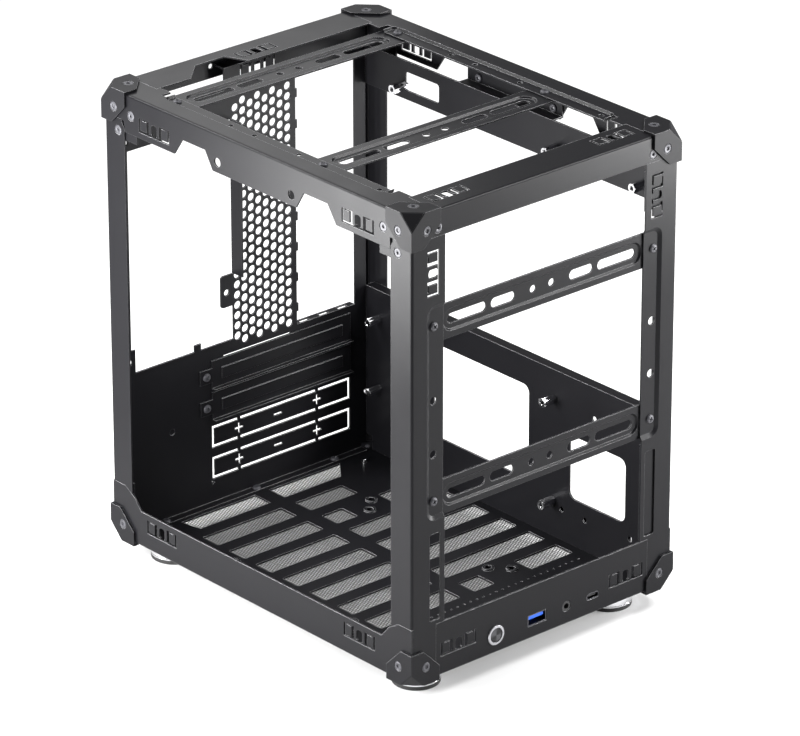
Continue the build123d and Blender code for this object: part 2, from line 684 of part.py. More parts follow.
def ledge_holes():
    """Screw holes of the cross bars and the spare holes along a ledge, left side."""
    screws = dots([(-LEDGE_HOLE_X, y) for y in CROSSBAR_Y], SCREW_HOLE_RADIUS)
    spare = dots([(-LEDGE_HOLE_X, y) for y in LEDGE_OPEN_HOLES], SCREW_HOLE_RADIUS)
    return screws + spare + dots([(-LEDGE_HOLE_X, -CROSSBAR_Y[0])], SCREW_HOLE_RADIUS)


def end_rail(flange, sign):
    """Front or rear top rail: it butts between the side rails and its apron closes the corners."""
    clear = HALF_W - RAIL_FLANGE_SIDE + RAIL_END_TRIM
    corner = (clear, -HALF_D, HEIGHT)
    rail = angle_bar(corner, flange, (0, 1, 0), RAIL_APRON_FRONT, (0, 0, -1), 2 * clear)
    apron_low = HEIGHT - RAIL_APRON_FRONT
    for side in (-1, 1):
        inner = min(side * clear, side * (HALF_W - SHEET))
        outer = max(side * clear, side * (HALF_W - SHEET))
        rail = rail + slab(inner, outer, -HALF_D, -HALF_D + SHEET, apron_low, HEIGHT - SHEET)
    rail = rail if sign < 0 else mirrored_y(rail)
    return rail


def front_rail():
    """Front top rail with two panel latches in its flange."""
    rail = end_rail(RAIL_FLANGE_FRONT, -1)
    v = -HALF_D + LATCH_TOP_INSET
    latches = latch_cut(-LATCH_TOP_X, v) + latch_cut(LATCH_TOP_X, v)
    rail = rail - plate("z", HEIGHT - SHEET, latches)
    return trim_corners(seat_rivets(rail))


def rear_rail():
    """Rear top rail with a notch in its flange, one latch and a cable hole in its apron."""
    rail = end_rail(RAIL_FLANGE_REAR, 1)
    inner = HALF_D - RAIL_FLANGE_REAR
    notch = outline(*[(x, inner + depth) for x, depth in REAR_NOTCH])
    latch = latch_cut(LATCH_REAR_X, HALF_D - LATCH_REAR_INSET)
    rail = rail - plate("z", HEIGHT - SHEET, notch + latch)
    eye = dots([(REAR_APRON_HOLE_X, HEIGHT - REAR_APRON_HOLE_DROP)], SCREW_HOLE_RADIUS)
    rail = rail - plate("y", HALF_D - SHEET, eye)
    return trim_corners(seat_rivets(rail))


# Posts

def post(front_leg):
    """Left post at the front end: its side stops on the base apron and its face reaches the floor."""
    corner = (-HALF_W, -HALF_D, SHEET)
    top = HEIGHT - POST_TOP_FRONT_DROP
    bar = angle_bar(corner, front_leg, (1, 0, 0), POST_SIDE, (0, 1, 0), top - SHEET)
    edge = -HALF_D + POST_SIDE
    rise = [(-y, z) for y, z in BASE_SIDE_RISE]
    below = outline((-HALF_D, 0), (-HALF_D, rise[2][1]), rise[2], rise[1], rise[0], (rise[0][0], 0))
    bar = bar - plate("x", -HALF_W, below)
    high = HEIGHT - POST_TOP_SIDE_DROP
    low = high - POST_TOP_STEP_FALL
    above = outline((-HALF_D, high), (edge - POST_TOP_STEP_RUN, high), (edge, low), (edge + SHEET, low),
                    (edge + SHEET, top + SHEET), (-HALF_D, top + SHEET))
    bar = bar - plate("x", -HALF_W, above)
    tab = slab(-HALF_W + SHEET, -HALF_W + 2 * SHEET, -HALF_D + SHEET, edge, BEND, POST_FOOT_TAB_LENGTH)
    return bar + tab


def narrow_foot(bar):
    """Narrow a front post beside the front apron of the base."""
    inner = -HALF_W + POST_FOOT_FRONT
    return bar - slab(inner, -HALF_W + POST_FRONT, -HALF_D, -HALF_D + SHEET, SHEET, BASE_FRONT_APRON)


def front_post():
    """Left front post with a pressed strip for the drive bars, a cable slot and a latch."""
    bar = narrow_foot(post(POST_FRONT))
    inner = -HALF_W + POST_FRONT
    low_u = inner - STRIP_WIDTH
    mouth = rounded_area(low_u, inner + STRIP_WIDTH, STRIP_LOW, STRIP_HIGH, STRIP_CORNER)
    well = rounded_area(low_u + STRIP_SLOPE, inner + STRIP_WIDTH - STRIP_SLOPE,
                        STRIP_LOW + STRIP_SLOPE, STRIP_HIGH - STRIP_SLOPE, STRIP_CORNER - STRIP_SLOPE)
    bar = pressed(bar, mouth, well, "y", -HALF_D, STRIP_DEPTH)
    depth = STRIP_DEPTH + THROUGH
    bar = bar - slab(inner, inner + 2 * STRIP_WIDTH, -HALF_D, -HALF_D + depth, STRIP_LOW, STRIP_HIGH)
    screws = dots([(-STRIP_HOLE_X, z) for z in DRIVE_BAR_Z], SCREW_HOLE_RADIUS)
    spare = dots([(-STRIP_HOLE_X, z) for z in STRIP_OPEN_HOLES], STRIP_OPEN_HOLE_RADIUS)
    slot_edge = inner - POST_SLOT_INSET
    slot = rounded_area(slot_edge - POST_SLOT_WIDTH, slot_edge, POST_SLOT_LOW, POST_SLOT_HIGH, BEND)
    latch = latch_cut(-HALF_W + POST_LATCH_INSET, POST_LATCH_Z, upright=True)
    bar = bar - plate("y", -HALF_D, screws + spare + slot + latch, THROUGH)
    return trim_corners(seat_rivets(bar))


def rear_post():
    """Left rear post, plain."""
    return mirrored_y(trim_corners(seat_rivets(post(POST_REAR))))


def corner_bracket():
    """Inner bracket that ties the left front post to the side rail and the front rail."""
    x = -HALF_W + SHEET
    y = -HALF_D + SHEET
    low = HEIGHT - BRACKET_LOW
    bracket = angle_bar((x, y, low), BRACKET_FRONT, (1, 0, 0), BRACKET_SIDE, (0, 1, 0), BRACKET_LOW - BEND)
    below_front = slab(x + BEND, x + BRACKET_FRONT, y, y + BEND, low, HEIGHT - BRACKET_FRONT_LOW)
    return trim_corners(seat_rivets(bracket - below_front))


# Cross bars and drive bars

def bar_slots():
    """Slots and round holes along a bar, long side along u."""
    cut = Sketch()
    for side in (-1, 1):
        for inner, outer in (BAR_SLOT_OUTER, BAR_SLOT_INNER):
            cut = cut + Pos(side * (inner + outer) / 2, 0) * SlotOverall(outer - inner, BAR_SLOT)
        cut = cut + Pos(side * BAR_HOLE_X, 0) * Circle(BAR_HOLE_RADIUS)
    return cut


def pressed_bar(width, screw_x):
    """Flat bar along X with its top face on Z = 0, a pressed channel and slots."""
    bar = plate("z", -SHEET, RectangleRounded(2 * BAR_HALF, width, BAR_CORNER))
    mouth = SlotOverall(BAR_CHANNEL, BAR_CHANNEL_WIDTH)
    well = SlotOverall(BAR_CHANNEL - 2 * BAR_CHANNEL_SLOPE, BAR_CHANNEL_WIDTH - 2 * BAR_CHANNEL_SLOPE)
    bar = pressed(bar, mouth, well, "z", 0, -BAR_CHANNEL_DEPTH)
    screws = dots([(-screw_x, 0), (screw_x, 0)], SCREW_HOLE_RADIUS)
    depth = BAR_CHANNEL_DEPTH + 2 * SHEET
    return bar - plate("z", -depth, bar_slots() + screws, 2 * depth)


def crossbars():
    """The two bars under the ledges of the side rails."""
    top = HEIGHT - LEDGE_DEPTH - SHEET
    return [Pos(0, y, top) * pressed_bar(CROSSBAR_WIDTH, LEDGE_HOLE_X) for y in CROSSBAR_Y]


def drive_bars():
    """The two bars behind the pressed strips of the front posts."""
    front = -HALF_D + STRIP_DEPTH + SHEET
    bar = pressed_bar(DRIVE_BAR_WIDTH, STRIP_HOLE_X)
    return [Pos(0, front, z) * Rot(90, 0, 0) * bar for z in DRIVE_BAR_Z]


def bar_screws():
    """Pan screws that hold the cross bars and the drive bars."""
    screws = []
    for side in (-1, 1):
        for y in CROSSBAR_Y:
            screws.append(facing((side * LEDGE_HOLE_X, y, HEIGHT - LEDGE_DEPTH), (0, 0, 1)) * pan_screw())
        for z in DRIVE_BAR_Z:
            point = (side * STRIP_HOLE_X, -HALF_D + STRIP_DEPTH, z)
            screws.append(facing(point, (0, -1, 0)) * pan_screw())
    return screws


# Base tray

def window_row_y(row):
    """Centre of a row of floor windows, counted from the back."""
    return WINDOW_FIRST_Y - row * WINDOW_PITCH


def window_spans(row):
    """Left and right limits of the windows in a row."""
    if row == 0:
        return []
    if row == 1:
        return [WINDOW_LEFT, (WINDOW_RIGHT[0], SECOND_RIGHT_X)]
    if row in (2, WINDOW_ROWS - 1):
        return [WINDOW_LEFT, (WINDOW_RIGHT[0], FAN_ROW_GAP[0]), (FAN_ROW_GAP[1], WINDOW_RIGHT[1])]
    return [WINDOW_LEFT, WINDOW_RIGHT]


def first_row_windows():
    """The two slanted windows nearest the back."""
    low = WINDOW_FIRST_Y - WINDOW_HEIGHT / 2
    high = WINDOW_FIRST_Y + WINDOW_HEIGHT / 2
    rib = WINDOW_LEFT[1]
    left = outline((FIRST_LEFT_LOW_X, low), (rib, low), (rib, high), (FIRST_LEFT_TOP_X, high))
    rib = WINDOW_RIGHT[0]
    right = outline((rib, low), (FIRST_RIGHT_LOW_X, low), (FIRST_RIGHT_TOP_X, high), (rib, high))
    return left + right


def floor_windows():
    """All vent windows of the floor as one sketch."""
    cut = first_row_windows()
    for row in range(WINDOW_ROWS):
        y = window_row_y(row)
        for left, right in window_spans(row):
            low = y - WINDOW_HEIGHT / 2
            cut = cut + rounded_area(left, right, low, low + WINDOW_HEIGHT, WINDOW_CORNER)
    return cut


def fan_points():
    """Fan screw places in the floor that lie on solid sheet."""
    points = []
    for spacing in FAN_SPACINGS:
        for sx in (-1, 1):
            for sy in (-1, 1):
                points.append((FAN_CENTRE[0] + sx * spacing / 2, FAN_CENTRE[1] + sy * spacing / 2))
    return points


def vent_row():
    """Row of pin holes in front of the windows."""
    count = int((VENT_ROW_X[1] - VENT_ROW_X[0]) / VENT_ROW_PITCH) + 1
    y = window_row_y(WINDOW_ROWS - 1) - WINDOW_HEIGHT / 2 - VENT_ROW_GAP
    return dots([(VENT_ROW_X[0] + i * VENT_ROW_PITCH, y) for i in range(count)], VENT_ROW_RADIUS)


def base_side_apron_cut():
    """Area taken off above the side aprons of the base."""
    half = [(0, BASE_SIDE_APRON)] + list(BASE_SIDE_RISE) + [(HALF_D + SHEET, BASE_SIDE_RISE[2][1])]
    left = [(-y, z) for y, z in reversed(half)]
    top = BASE_SIDE_RISE[2][1] + SHEET
    return outline(*left, *half[1:], (HALF_D + SHEET, top), (-HALF_D - SHEET, top))


def foot_points():
    """Centres of the four feet."""
    return [(sx * FOOT_X, sy * FOOT_Y) for sx in (-1, 1) for sy in (-1, 1)]


def floor_screw_points():
    """Floor screws of the rear panel flange and of the motherboard tray flange."""
    y = HALF_D - PANEL_INSET - PANEL_FLANGE / 2
    x = TRAY_X + SHEET + TRAY_FLANGE / 2
    return [(screw, y) for screw in FLOOR_SCREW_X] + [(x, screw) for screw in FLOOR_SCREW_Y]


def base_tray():
    """Folded base: floor with side aprons, a tall front apron and a low rear lip."""
    high = BASE_SIDE_RISE[2][1]
    half = angle_bar((-HALF_W, HALF_D, 0), HALF_W, (1, 0, 0), high, (0, 0, 1), DEPTH)
    base = half + mirrored_x(half)
    cut = plate("x", -HALF_W - SHEET, base_side_apron_cut(), THROUGH)
    base = base - cut - mirrored_x(cut)
    apron = HALF_W - POST_FOOT_FRONT
    strip = slab(-apron, apron, -HALF_D, -HALF_D + 2 * BEND, 0, SHEET)
    front = angle_bar((-apron, -HALF_D, 0), 2 * BEND, (0, 1, 0), BASE_FRONT_APRON, (0, 0, 1), 2 * apron)
    lip_half = HALF_W - POST_REAR - SHEET
    rear = angle_bar((-lip_half, -HALF_D, 0), 2 * BEND, (0, 1, 0), BASE_REAR_LIP, (0, 0, 1), 2 * lip_half)
    rear_strip = slab(-lip_half, lip_half, HALF_D - 2 * BEND, HALF_D, 0, SHEET)
    base = base - strip - rear_strip + front + mirrored_y(rear)
    rings = plate("z", SHEET, dots(fan_points(), FAN_RING_RADIUS), FAN_RING_HEIGHT)
    base = base + rings
    screws = foot_points() + floor_screw_points() + board_post_points()
    holes = dots(fan_points(), FAN_HOLE_RADIUS) + dots(screws, SCREW_HOLE_RADIUS)
    cut = floor_windows() + vent_row() + holes
    base = base - plate("z", 0, cut, SHEET + FAN_RING_HEIGHT)
    side = latch_cut(-LATCH_SIDE_Y, LATCH_SIDE_LOW_Z) + latch_cut(LATCH_SIDE_Y, LATCH_SIDE_LOW_Z)
    side = plate("x", -HALF_W, side)
    front = latch_cut(-LATCH_FRONT_X, LATCH_FRONT_Z) + latch_cut(LATCH_FRONT_X, LATCH_FRONT_Z)
    base = base - side - mirrored_x(side) - plate("y", -HALF_D, front + front_port_holes())
    return trim_corners(base)


def dust_filter():
    """Thin perforated sheet under the floor, drawn with slits across each window."""
    low = window_row_y(WINDOW_ROWS - 1) - WINDOW_HEIGHT / 2 - FILTER_MARGIN
    high = WINDOW_FIRST_Y + WINDOW_HEIGHT / 2 + FILTER_MARGIN
    sheet = area(WINDOW_LEFT[0] - FILTER_MARGIN, WINDOW_RIGHT[1] + FILTER_MARGIN, low, high)
    reach = FOOT_RADIUS + FILTER_FOOT_CLEARANCE
    sheet = sheet - dots(foot_points(), reach) - area(FOOT_X, HALF_W, FOOT_Y - reach, HALF_D)
    sheet = sheet - dots(fan_points(), FAN_HOLE_RADIUS)
    step = WINDOW_HEIGHT / FILTER_SLITS
    first_row = [(FIRST_LEFT_LOW_X, WINDOW_LEFT[1]), (WINDOW_RIGHT[0], FIRST_RIGHT_LOW_X)]
    for row in range(WINDOW_ROWS):
        for left, right in window_spans(row) or first_row:
            for i in range(FILTER_SLITS):
                v = window_row_y(row) - WINDOW_HEIGHT / 2 + (i + 0.5) * step
                low_v = v - FILTER_SLIT / 2
                slit = area(left + FILTER_INSET, right - FILTER_INSET, low_v, low_v + FILTER_SLIT)
                sheet = sheet - slit
    return plate("z", -FILTER_SHEET, sheet, FILTER_SHEET)


# Feet

def foot_ring():
    """Turned metal foot, open below, with its top on Z = 0."""
    height = FOOT_HEIGHT - FOOT_PAD_SHOW
    ring = Cylinder(FOOT_RADIUS, height, align=(Align.CENTER, Align.CENTER, Align.MAX))
    ring = chamfer(ring.edges().group_by(Axis.Z)[0], FOOT_CHAMFER)
    cavity = Cylinder(FOOT_CAVITY_RADIUS, height - FOOT_TOP, align=(Align.CENTER, Align.CENTER, Align.MAX))
    seat_height = FOOT_PAD_HEIGHT - FOOT_PAD_SHOW
    seat = Cylinder(FOOT_RADIUS - FOOT_PAD_RIM, seat_height, align=(Align.CENTER, Align.CENTER, Align.MIN))
    ring = ring - Pos(0, 0, -FOOT_TOP) * cavity - Pos(0, 0, -height) * seat
    return ring - Cylinder(SCREW_HOLE_RADIUS, 3 * FOOT_TOP)


def foot_pad():
    """Rubber disc pressed into the open end of a foot."""
    pad = Cylinder(FOOT_RADIUS - FOOT_PAD_RIM, FOOT_PAD_HEIGHT, align=(Align.CENTER, Align.CENTER, Align.MIN))
    pad = fillet(pad.edges().group_by(Axis.Z)[0], FOOT_PAD_ROUND)
    return Pos(0, 0, -FOOT_HEIGHT) * pad


def foot_screws():
    """Screws that hold the feet, heads inside the feet."""
    return [Pos(x, y, -FOOT_TOP) * Rot(180, 0, 0) * pan_screw(FOOT_SCREW_LENGTH) for x, y in foot_points()]


# Rear panel

def panel_front_y():
    """Inner face of the rear panel."""
    return HALF_D - PANEL_INSET


def perforations():
    """Staggered round vents between the power supply opening and the port opening."""
    step = PERFORATION_PITCH * math.cos(math.radians(30))
    centres = []
    for column in range(PERFORATION_COLUMNS):
        raised = column % 2
        for row in range(PERFORATION_ROWS + raised):
            z = PERFORATION_TOP_Z + raised * PERFORATION_PITCH / 2 - row * PERFORATION_PITCH
            centres.append((PERFORATION_LEFT_X + column * step, z))
    return dots(centres, PERFORATION_RADIUS)


def break_out_slits(z):
    """Slits that leave a break-out slot cover on two bridges along each long side."""
    half = SLOT_OUTER_HEIGHT / 2
    inner = area(SLOT_LEFT + SLOT_SLIT, SLOT_RIGHT - SLOT_SLIT, z - half + SLOT_SLIT, z + half - SLOT_SLIT)
    cut = area(SLOT_LEFT, SLOT_RIGHT, z - half, z + half) - inner
    for x in SLOT_BRIDGES:
        cut = cut - area(x - SLOT_BRIDGE / 2, x + SLOT_BRIDGE / 2, z - half, z + half)
        cut = cut + Pos(x, z) * Rectangle(SLOT_MARK_LENGTH, SLOT_MARK_WIDTH)
        cut = cut + Pos(x, z) * Rectangle(SLOT_MARK_WIDTH, SLOT_MARK_LENGTH)
    return cut + Pos(SLOT_DASH_X, z) * Rectangle(SLOT_MARK_LENGTH, SLOT_MARK_WIDTH)


def slot_z(index):
    """Centre of an expansion slot, counted from the floor."""
    return SLOT_FIRST_Z + index * SLOT_PITCH


def supply_points():
    """Screw places of the power supply."""
    return [(SUPPLY_HOLE[0] + u, SUPPLY_HOLE[1] + v) for u, v in SUPPLY_PATTERN]


def panel_outline():
    """Rear panel seen from the front, with its big openings."""
    side = HALF_W - 2 * SHEET - PANEL_SIDE_CLEARANCE
    right = TRAY_X - PANEL_SIDE_CLEARANCE
    sheet = area(-side, right, SHEET, HEIGHT - PANEL_TOP_DROP)
    sheet = sheet + area(-side - SHEET, -side, PANEL_FLANGE_LOW, SUPPLY_LOW)
    sheet = sheet - area(-side, PANEL_TOP_FLANGE_LEFT, HEIGHT - PANEL_CORNER_DROP, HEIGHT)
    sheet = sheet - area(right - PANEL_NOTCH, right, SHEET, SHEET + PANEL_NOTCH)
    sheet = sheet - area(-side, PANEL_NOTCH - right, SHEET, SHEET + PANEL_NOTCH)
    supply = area(SUPPLY_LEFT, STRIP_PANEL_LEFT, SUPPLY_LOW, SUPPLY_TOP)
    supply = supply - area(SUPPLY_LEFT, SUPPLY_LOW_TAB[0], SUPPLY_LOW, SUPPLY_LOW_TAB[1])
    root = STRIP_PANEL_LEFT + SUPPLY_TAB_ROOT
    supply = supply - rounded_area(SUPPLY_TAB_LEFT, root, SUPPLY_TAB_LOW, SUPPLY_TAB_HIGH, SUPPLY_TAB_CORNER)
    ports_right = STRIP_PANEL_RIGHT + TOOTH_DEPTH + PORT_WIDTH
    ports = area(STRIP_PANEL_RIGHT, ports_right, PORT_BOTTOM, PORT_BOTTOM + PORT_HEIGHT)
    teeth = int((TOOTH_TOP - PORT_BOTTOM) / TOOTH_PITCH) + 1
    for i in range(teeth):
        high = TOOTH_TOP - i * TOOTH_PITCH
        ports = ports - area(STRIP_PANEL_RIGHT, STRIP_PANEL_RIGHT + TOOTH_DEPTH, high - TOOTH_HEIGHT, high)
    return sheet - supply - ports


def rear_panel():
    """Folded rear panel set in from the back of the frame."""
    y = panel_front_y()
    sheet = panel_outline() - perforations()
    slit_z = PORT_BOTTOM - PANEL_SLIT_DROP
    sheet = sheet - area(*PANEL_SLIT, slit_z - PANEL_SLIT_WIDTH / 2, slit_z + PANEL_SLIT_WIDTH / 2)
    sheet = sheet + area(*PANEL_HOOK_X, SUPPLY_LOW, SUPPLY_LOW + PANEL_HOOK_RISE)
    sheet = sheet - Pos(*PANEL_EYE) * RegularPolygon(PANEL_EYE_RADIUS, 3)
    sheet = sheet - dots(supply_points(), SUPPLY_HOLE_RADIUS)
    for index in (0, 1):
        sheet = sheet - break_out_slits(slot_z(index))
    for index in (2, 3):
        low = slot_z(index) - SLOT_OUTER_HEIGHT / 2
        high = slot_z(index) + SLOT_OUTER_HEIGHT / 2
        sheet = sheet - area(SLOT_LEFT + SLOT_SLIT, SLOT_RIGHT - SLOT_SLIT, low, high)
        sheet = sheet - dots([cover_screw_point(index)], SCREW_HOLE_RADIUS)
    sheet = sheet - latch_cut(PANEL_LATCH_X, HEIGHT - PANEL_LATCH_DROP)
    dimple = dots([PANEL_DIMPLE], PANEL_DIMPLE_RADIUS)
    panel = plate("y", y, sheet) - plate("y", y, dimple, PANEL_DIMPLE_DEPTH)
    back = HALF_D - SHEET
    top = HEIGHT - PANEL_TOP_DROP
    flange_right = HALF_W - BRACKET_FRONT - SHEET - PANEL_SIDE_CLEARANCE
    panel = panel + slab(PANEL_TOP_FLANGE_LEFT, flange_right, y, back, top - SHEET, top)
    side = -HALF_W + SHEET + PANEL_SIDE_CLEARANCE
    panel = panel + slab(side, side + SHEET, y, back + SHEET - BEND, PANEL_FLANGE_LOW, SUPPLY_LOW)
    strip = STRIP_PANEL_LEFT
    panel = panel + slab(strip, strip + SHEET, y - STRIP_FLANGE_DEPTH, y, SUPPLY_TAB_HIGH, SUPPLY_TOP)
    return panel + port_shelf(y) + floor_flange(y)


def port_shelf(y):
    """Lip below the port opening with three slots."""
    left = STRIP_PANEL_RIGHT + TOOTH_DEPTH
    shelf = slab(left, left + PORT_WIDTH, y, y + PORT_SHELF, PORT_BOTTOM - SHEET, PORT_BOTTOM)
    half = PORT_SHELF_SLOT / 2
    near = y + SHEET
    far = y + PORT_SHELF - SHEET
    for x in [left + step for step in PORT_SHELF_SLOTS]:
        shelf = shelf - slab(x - half, x + half, near, far, PORT_BOTTOM - SHEET, PORT_BOTTOM)
    return shelf


def floor_flange(y):
    """Foot of the rear panel, screwed to the floor."""
    side = TRAY_X - PANEL_SIDE_CLEARANCE - PANEL_NOTCH
    flange = slab(-side, side, y - PANEL_FLANGE, y, SHEET, 2 * SHEET)
    return flange - plate("z", SHEET, dots(floor_screw_points()[:3], SCREW_HOLE_RADIUS))


def cover_screw_point(index):
    """Screw place of a removable slot cover."""
    return (SLOT_LEFT - COVER_TAB / 2, slot_z(index))


def slot_cover(index):
    """Removable ribbed slot cover on the inner face of the rear panel."""
    y = panel_front_y()
    z = slot_z(index)
    low = z - COVER_HEIGHT / 2
    face = area(SLOT_LEFT, SLOT_RIGHT, low, low + COVER_HEIGHT)
    face = face + area(SLOT_LEFT - COVER_TAB, SLOT_LEFT, z - COVER_HEIGHT / 4, z + COVER_HEIGHT / 4)
    face = face - dots([cover_screw_point(index)], SCREW_HOLE_RADIUS)
    cover = plate("y", y - SHEET, face)
    lip = slab(SLOT_LEFT, SLOT_RIGHT, y - SHEET - COVER_LIP, y - SHEET, low, low + SHEET)
    rib = slab(SLOT_LEFT + COVER_RIB, SLOT_RIGHT - COVER_RIB, y - SHEET - COVER_RIB_DEPTH, y - SHEET,
               z - COVER_RIB / 2, z + COVER_RIB / 2)
    return cover + lip + rib


def cover_screws():
    """Screws of the removable slot covers."""
    y = panel_front_y() - SHEET
    screws = []
    for index in (2, 3):
        x, z = cover_screw_point(index)
        screws.append(facing((x, y, z), (0, -1, 0)) * pan_screw())
    return screws


# Motherboard tray and band

def board_points():
    """Stand-off places on the tray and the band, as Y and Z."""
    middle = BOARD_REAR_Y - BOARD_MIDDLE_STEP
    points = [(BOARD_REAR_Y, BOARD_MIDDLE_Z), (BOARD_REAR_Y, BOARD_MIDDLE_Z - BOARD_LOW_STEP)]
    points += [(middle, BOARD_MIDDLE_Z), (middle, BOARD_MIDDLE_Z - BOARD_LOWEST_STEP)]
    top_row = (BOARD_REAR_Y - BOARD_TOP_SHIFT, middle, middle - BOARD_FRONT_STEP)
    points += [(y, BOARD_TOP_Z) for y in top_row]
    return points


def motherboard_tray():
    """Lower board plate with two windows, a top flange and a foot on the floor."""
    rear = panel_front_y()
    sheet = area(-TRAY_FRONT, rear, SHEET, TRAY_TOP)
    foot_end = TRAY_FRONT - TRAY_NOTCH
    sheet = sheet - area(-TRAY_FRONT, -foot_end, SHEET, TRAY_NOTCH) - area(foot_end, rear, SHEET, TRAY_NOTCH)
    sheet = sheet - rounded_area(*TRAY_REAR_WINDOW, TRAY_WINDOW_CORNER)
    sheet = sheet - rounded_area(*TRAY_FRONT_WINDOW, TRAY_WINDOW_CORNER)
    sheet = sheet - dots(TRAY_SMALL_HOLES, TRAY_SMALL_HOLE_RADIUS) - dots(board_points(), SCREW_HOLE_RADIUS)
    tray = plate("x", TRAY_X, sheet)
    outer = TRAY_X + SHEET + TRAY_FLANGE
    tray = tray + slab(TRAY_X, outer, -TRAY_FRONT, rear, TRAY_TOP - SHEET, TRAY_TOP)
    foot = slab(TRAY_X, outer, -foot_end, foot_end, SHEET, 2 * SHEET)
    tray = tray + foot - plate("z", SHEET, dots(floor_screw_points()[3:], SCREW_HOLE_RADIUS))
    front = -HALF_D + SHEET
    ear = slab(TRAY_X + SHEET - TRAY_FRONT_FLANGE, TRAY_X + SHEET, front, front + SHEET,
               TRAY_FRONT_FLANGE_LOW, TRAY_FRONT_FLANGE_HIGH)
    neck = slab(TRAY_X, TRAY_X + SHEET, front, -TRAY_FRONT, TRAY_FRONT_FLANGE_LOW, TRAY_FRONT_FLANGE_HIGH)
    return tray + ear + neck


def motherboard_band():
    """Upper board plate that hangs from the right top rail."""
    rear = panel_front_y()
    front = -HALF_D + SHEET
    sheet = area(front, rear, BAND_LOW, BAND_HIGH)
    sheet = sheet - rounded_area(*BAND_WINDOW, BAND_WINDOW_CORNER) - dots(board_points(), SCREW_HOLE_RADIUS)
    band = plate("x", TRAY_X, sheet)
    ear_top = HEIGHT - BRACKET_FRONT_LOW - 2 * SHEET
    band = band - slab(TRAY_X, TRAY_X + SHEET, front, front + 2 * SHEET, ear_top, BAND_HIGH + SHEET)
    ear = slab(TRAY_X + SHEET - TRAY_FRONT_FLANGE, TRAY_X + SHEET, front, front + SHEET, BAND_LOW, ear_top)
    inner = HALF_W - SHEET
    bridge = slab(TRAY_X, inner, *BAND_TAB, BAND_HIGH - SHEET, BAND_HIGH)
    tab = slab(inner - SHEET, inner, *BAND_TAB, BAND_HIGH - SHEET, BAND_TAB_TOP)
    holes = dots(apron_hole_points(), SCREW_HOLE_RADIUS)
    return band + ear + bridge + tab - plate("x", inner - SHEET, holes)


def band_screws():
    """Screws that hold the band to the apron of the right top rail, heads inside."""
    x = HALF_W - 2 * SHEET
    z = HEIGHT - APRON_HOLE_DROP
    return [facing((x, side * APRON_HOLE_Y, z), (-1, 0, 0)) * pan_screw(2 * SHEET) for side in (-1, 1)]


def floor_screws():
    """Screws from the flanges into the floor."""
    return [Pos(x, y, 2 * SHEET) * pan_screw(2 * SHEET) for x, y in floor_screw_points()]


def standoffs():
    """Hexagonal stand-offs with a stud into the plate and a threaded bore for the board screw."""
    body = extrude(RegularPolygon(STANDOFF_FLATS / 2, 6, major_radius=False), amount=STANDOFF_LENGTH)
    body = body - Pos(0, 0, STANDOFF_LENGTH) * Cylinder(STANDOFF_BORE_RADIUS, 2 * STANDOFF_BORE)
    stud = Cylinder(SCREW_RADIUS, STANDOFF_STUD, align=(Align.CENTER, Align.CENTER, Align.MAX))
    piece = body + stud
    return [facing((TRAY_X, y, z), (-1, 0, 0)) * piece for y, z in board_points()]


# Front ports

def apron_back():
    """Inner face of the front apron."""
    return -HALF_D + SHEET


def front_port_holes():
    """Holes of the button and the ports in the front apron."""
    holes = dots([(BUTTON_X, PORT_Z)], BARREL_RADIUS + BARREL_CLEARANCE)
    gap = 2 * PORT_CLEARANCE
    holes = holes + Pos(USB_A_X, PORT_Z) * Rectangle(USB_A_WIDTH + gap, USB_A_HEIGHT + gap)
    holes = holes + dots([(JACK_X, PORT_Z)], JACK_RADIUS + PORT_CLEARANCE)
    return holes + Pos(USB_C_X, PORT_Z) * SlotOverall(USB_C_WIDTH + gap, USB_C_HEIGHT + gap)


def button_housing():
    """Bright bezel and threaded barrel of the power switch, closed at the back."""
    barrel = bore((BUTTON_X, -HALF_D + BARREL_LENGTH / 2, PORT_Z), (0, -1, 0), BARREL_RADIUS, BARREL_LENGTH)
    bezel = bore((BUTTON_X, -HALF_D - BEZEL_RIM / 2, PORT_Z), (0, -1, 0), BEZEL_RADIUS, BEZEL_RIM)
    front_edge = bezel.edges().filter_by(GeomType.CIRCLE).group_by(Axis.Y)[0]
    bezel = chamfer(front_edge, BEZEL_CHAMFER)
    depth = BUTTON_LENGTH + BUTTON_TRAVEL + BUTTON_REST_GAP + BUTTON_RECESS
    centre_y = -HALF_D - BEZEL_RIM + depth / 2
    cavity = bore((BUTTON_X, centre_y, PORT_Z), (0, -1, 0), BUTTON_RADIUS + BUTTON_BORE_CLEARANCE, depth)
    return barrel + bezel - cavity - stem_bore(depth)


def stem_bore(depth):
    """Guide bore of the button stem behind the button cavity."""
    length = BUTTON_TRAVEL + 4 * BUTTON_REST_GAP + BUTTON_STEM_GUIDE
    y = -HALF_D - BEZEL_RIM + depth + length / 2
    return bore((BUTTON_X, y, PORT_Z), (0, -1, 0), BUTTON_STEM_RADIUS + BUTTON_BORE_CLEARANCE, length)


def power_button():
    """Round button with a stem, at rest."""
    front = -HALF_D - BEZEL_RIM + BUTTON_RECESS
    cap = bore((BUTTON_X, front + BUTTON_LENGTH / 2, PORT_Z), (0, -1, 0), BUTTON_RADIUS, BUTTON_LENGTH)
    front_edge = cap.edges().filter_by(GeomType.CIRCLE).group_by(Axis.Y)[0]
    cap = chamfer(front_edge, BUTTON_CHAMFER)
    length = BUTTON_TRAVEL + BUTTON_REST_GAP + BUTTON_STEM_GUIDE
    stem_y = front + BUTTON_LENGTH - BUTTON_STEM_ROOT + length / 2
    stem = bore((BUTTON_X, stem_y, PORT_Z), (0, -1, 0), BUTTON_STEM_RADIUS, length)
    return cap + stem


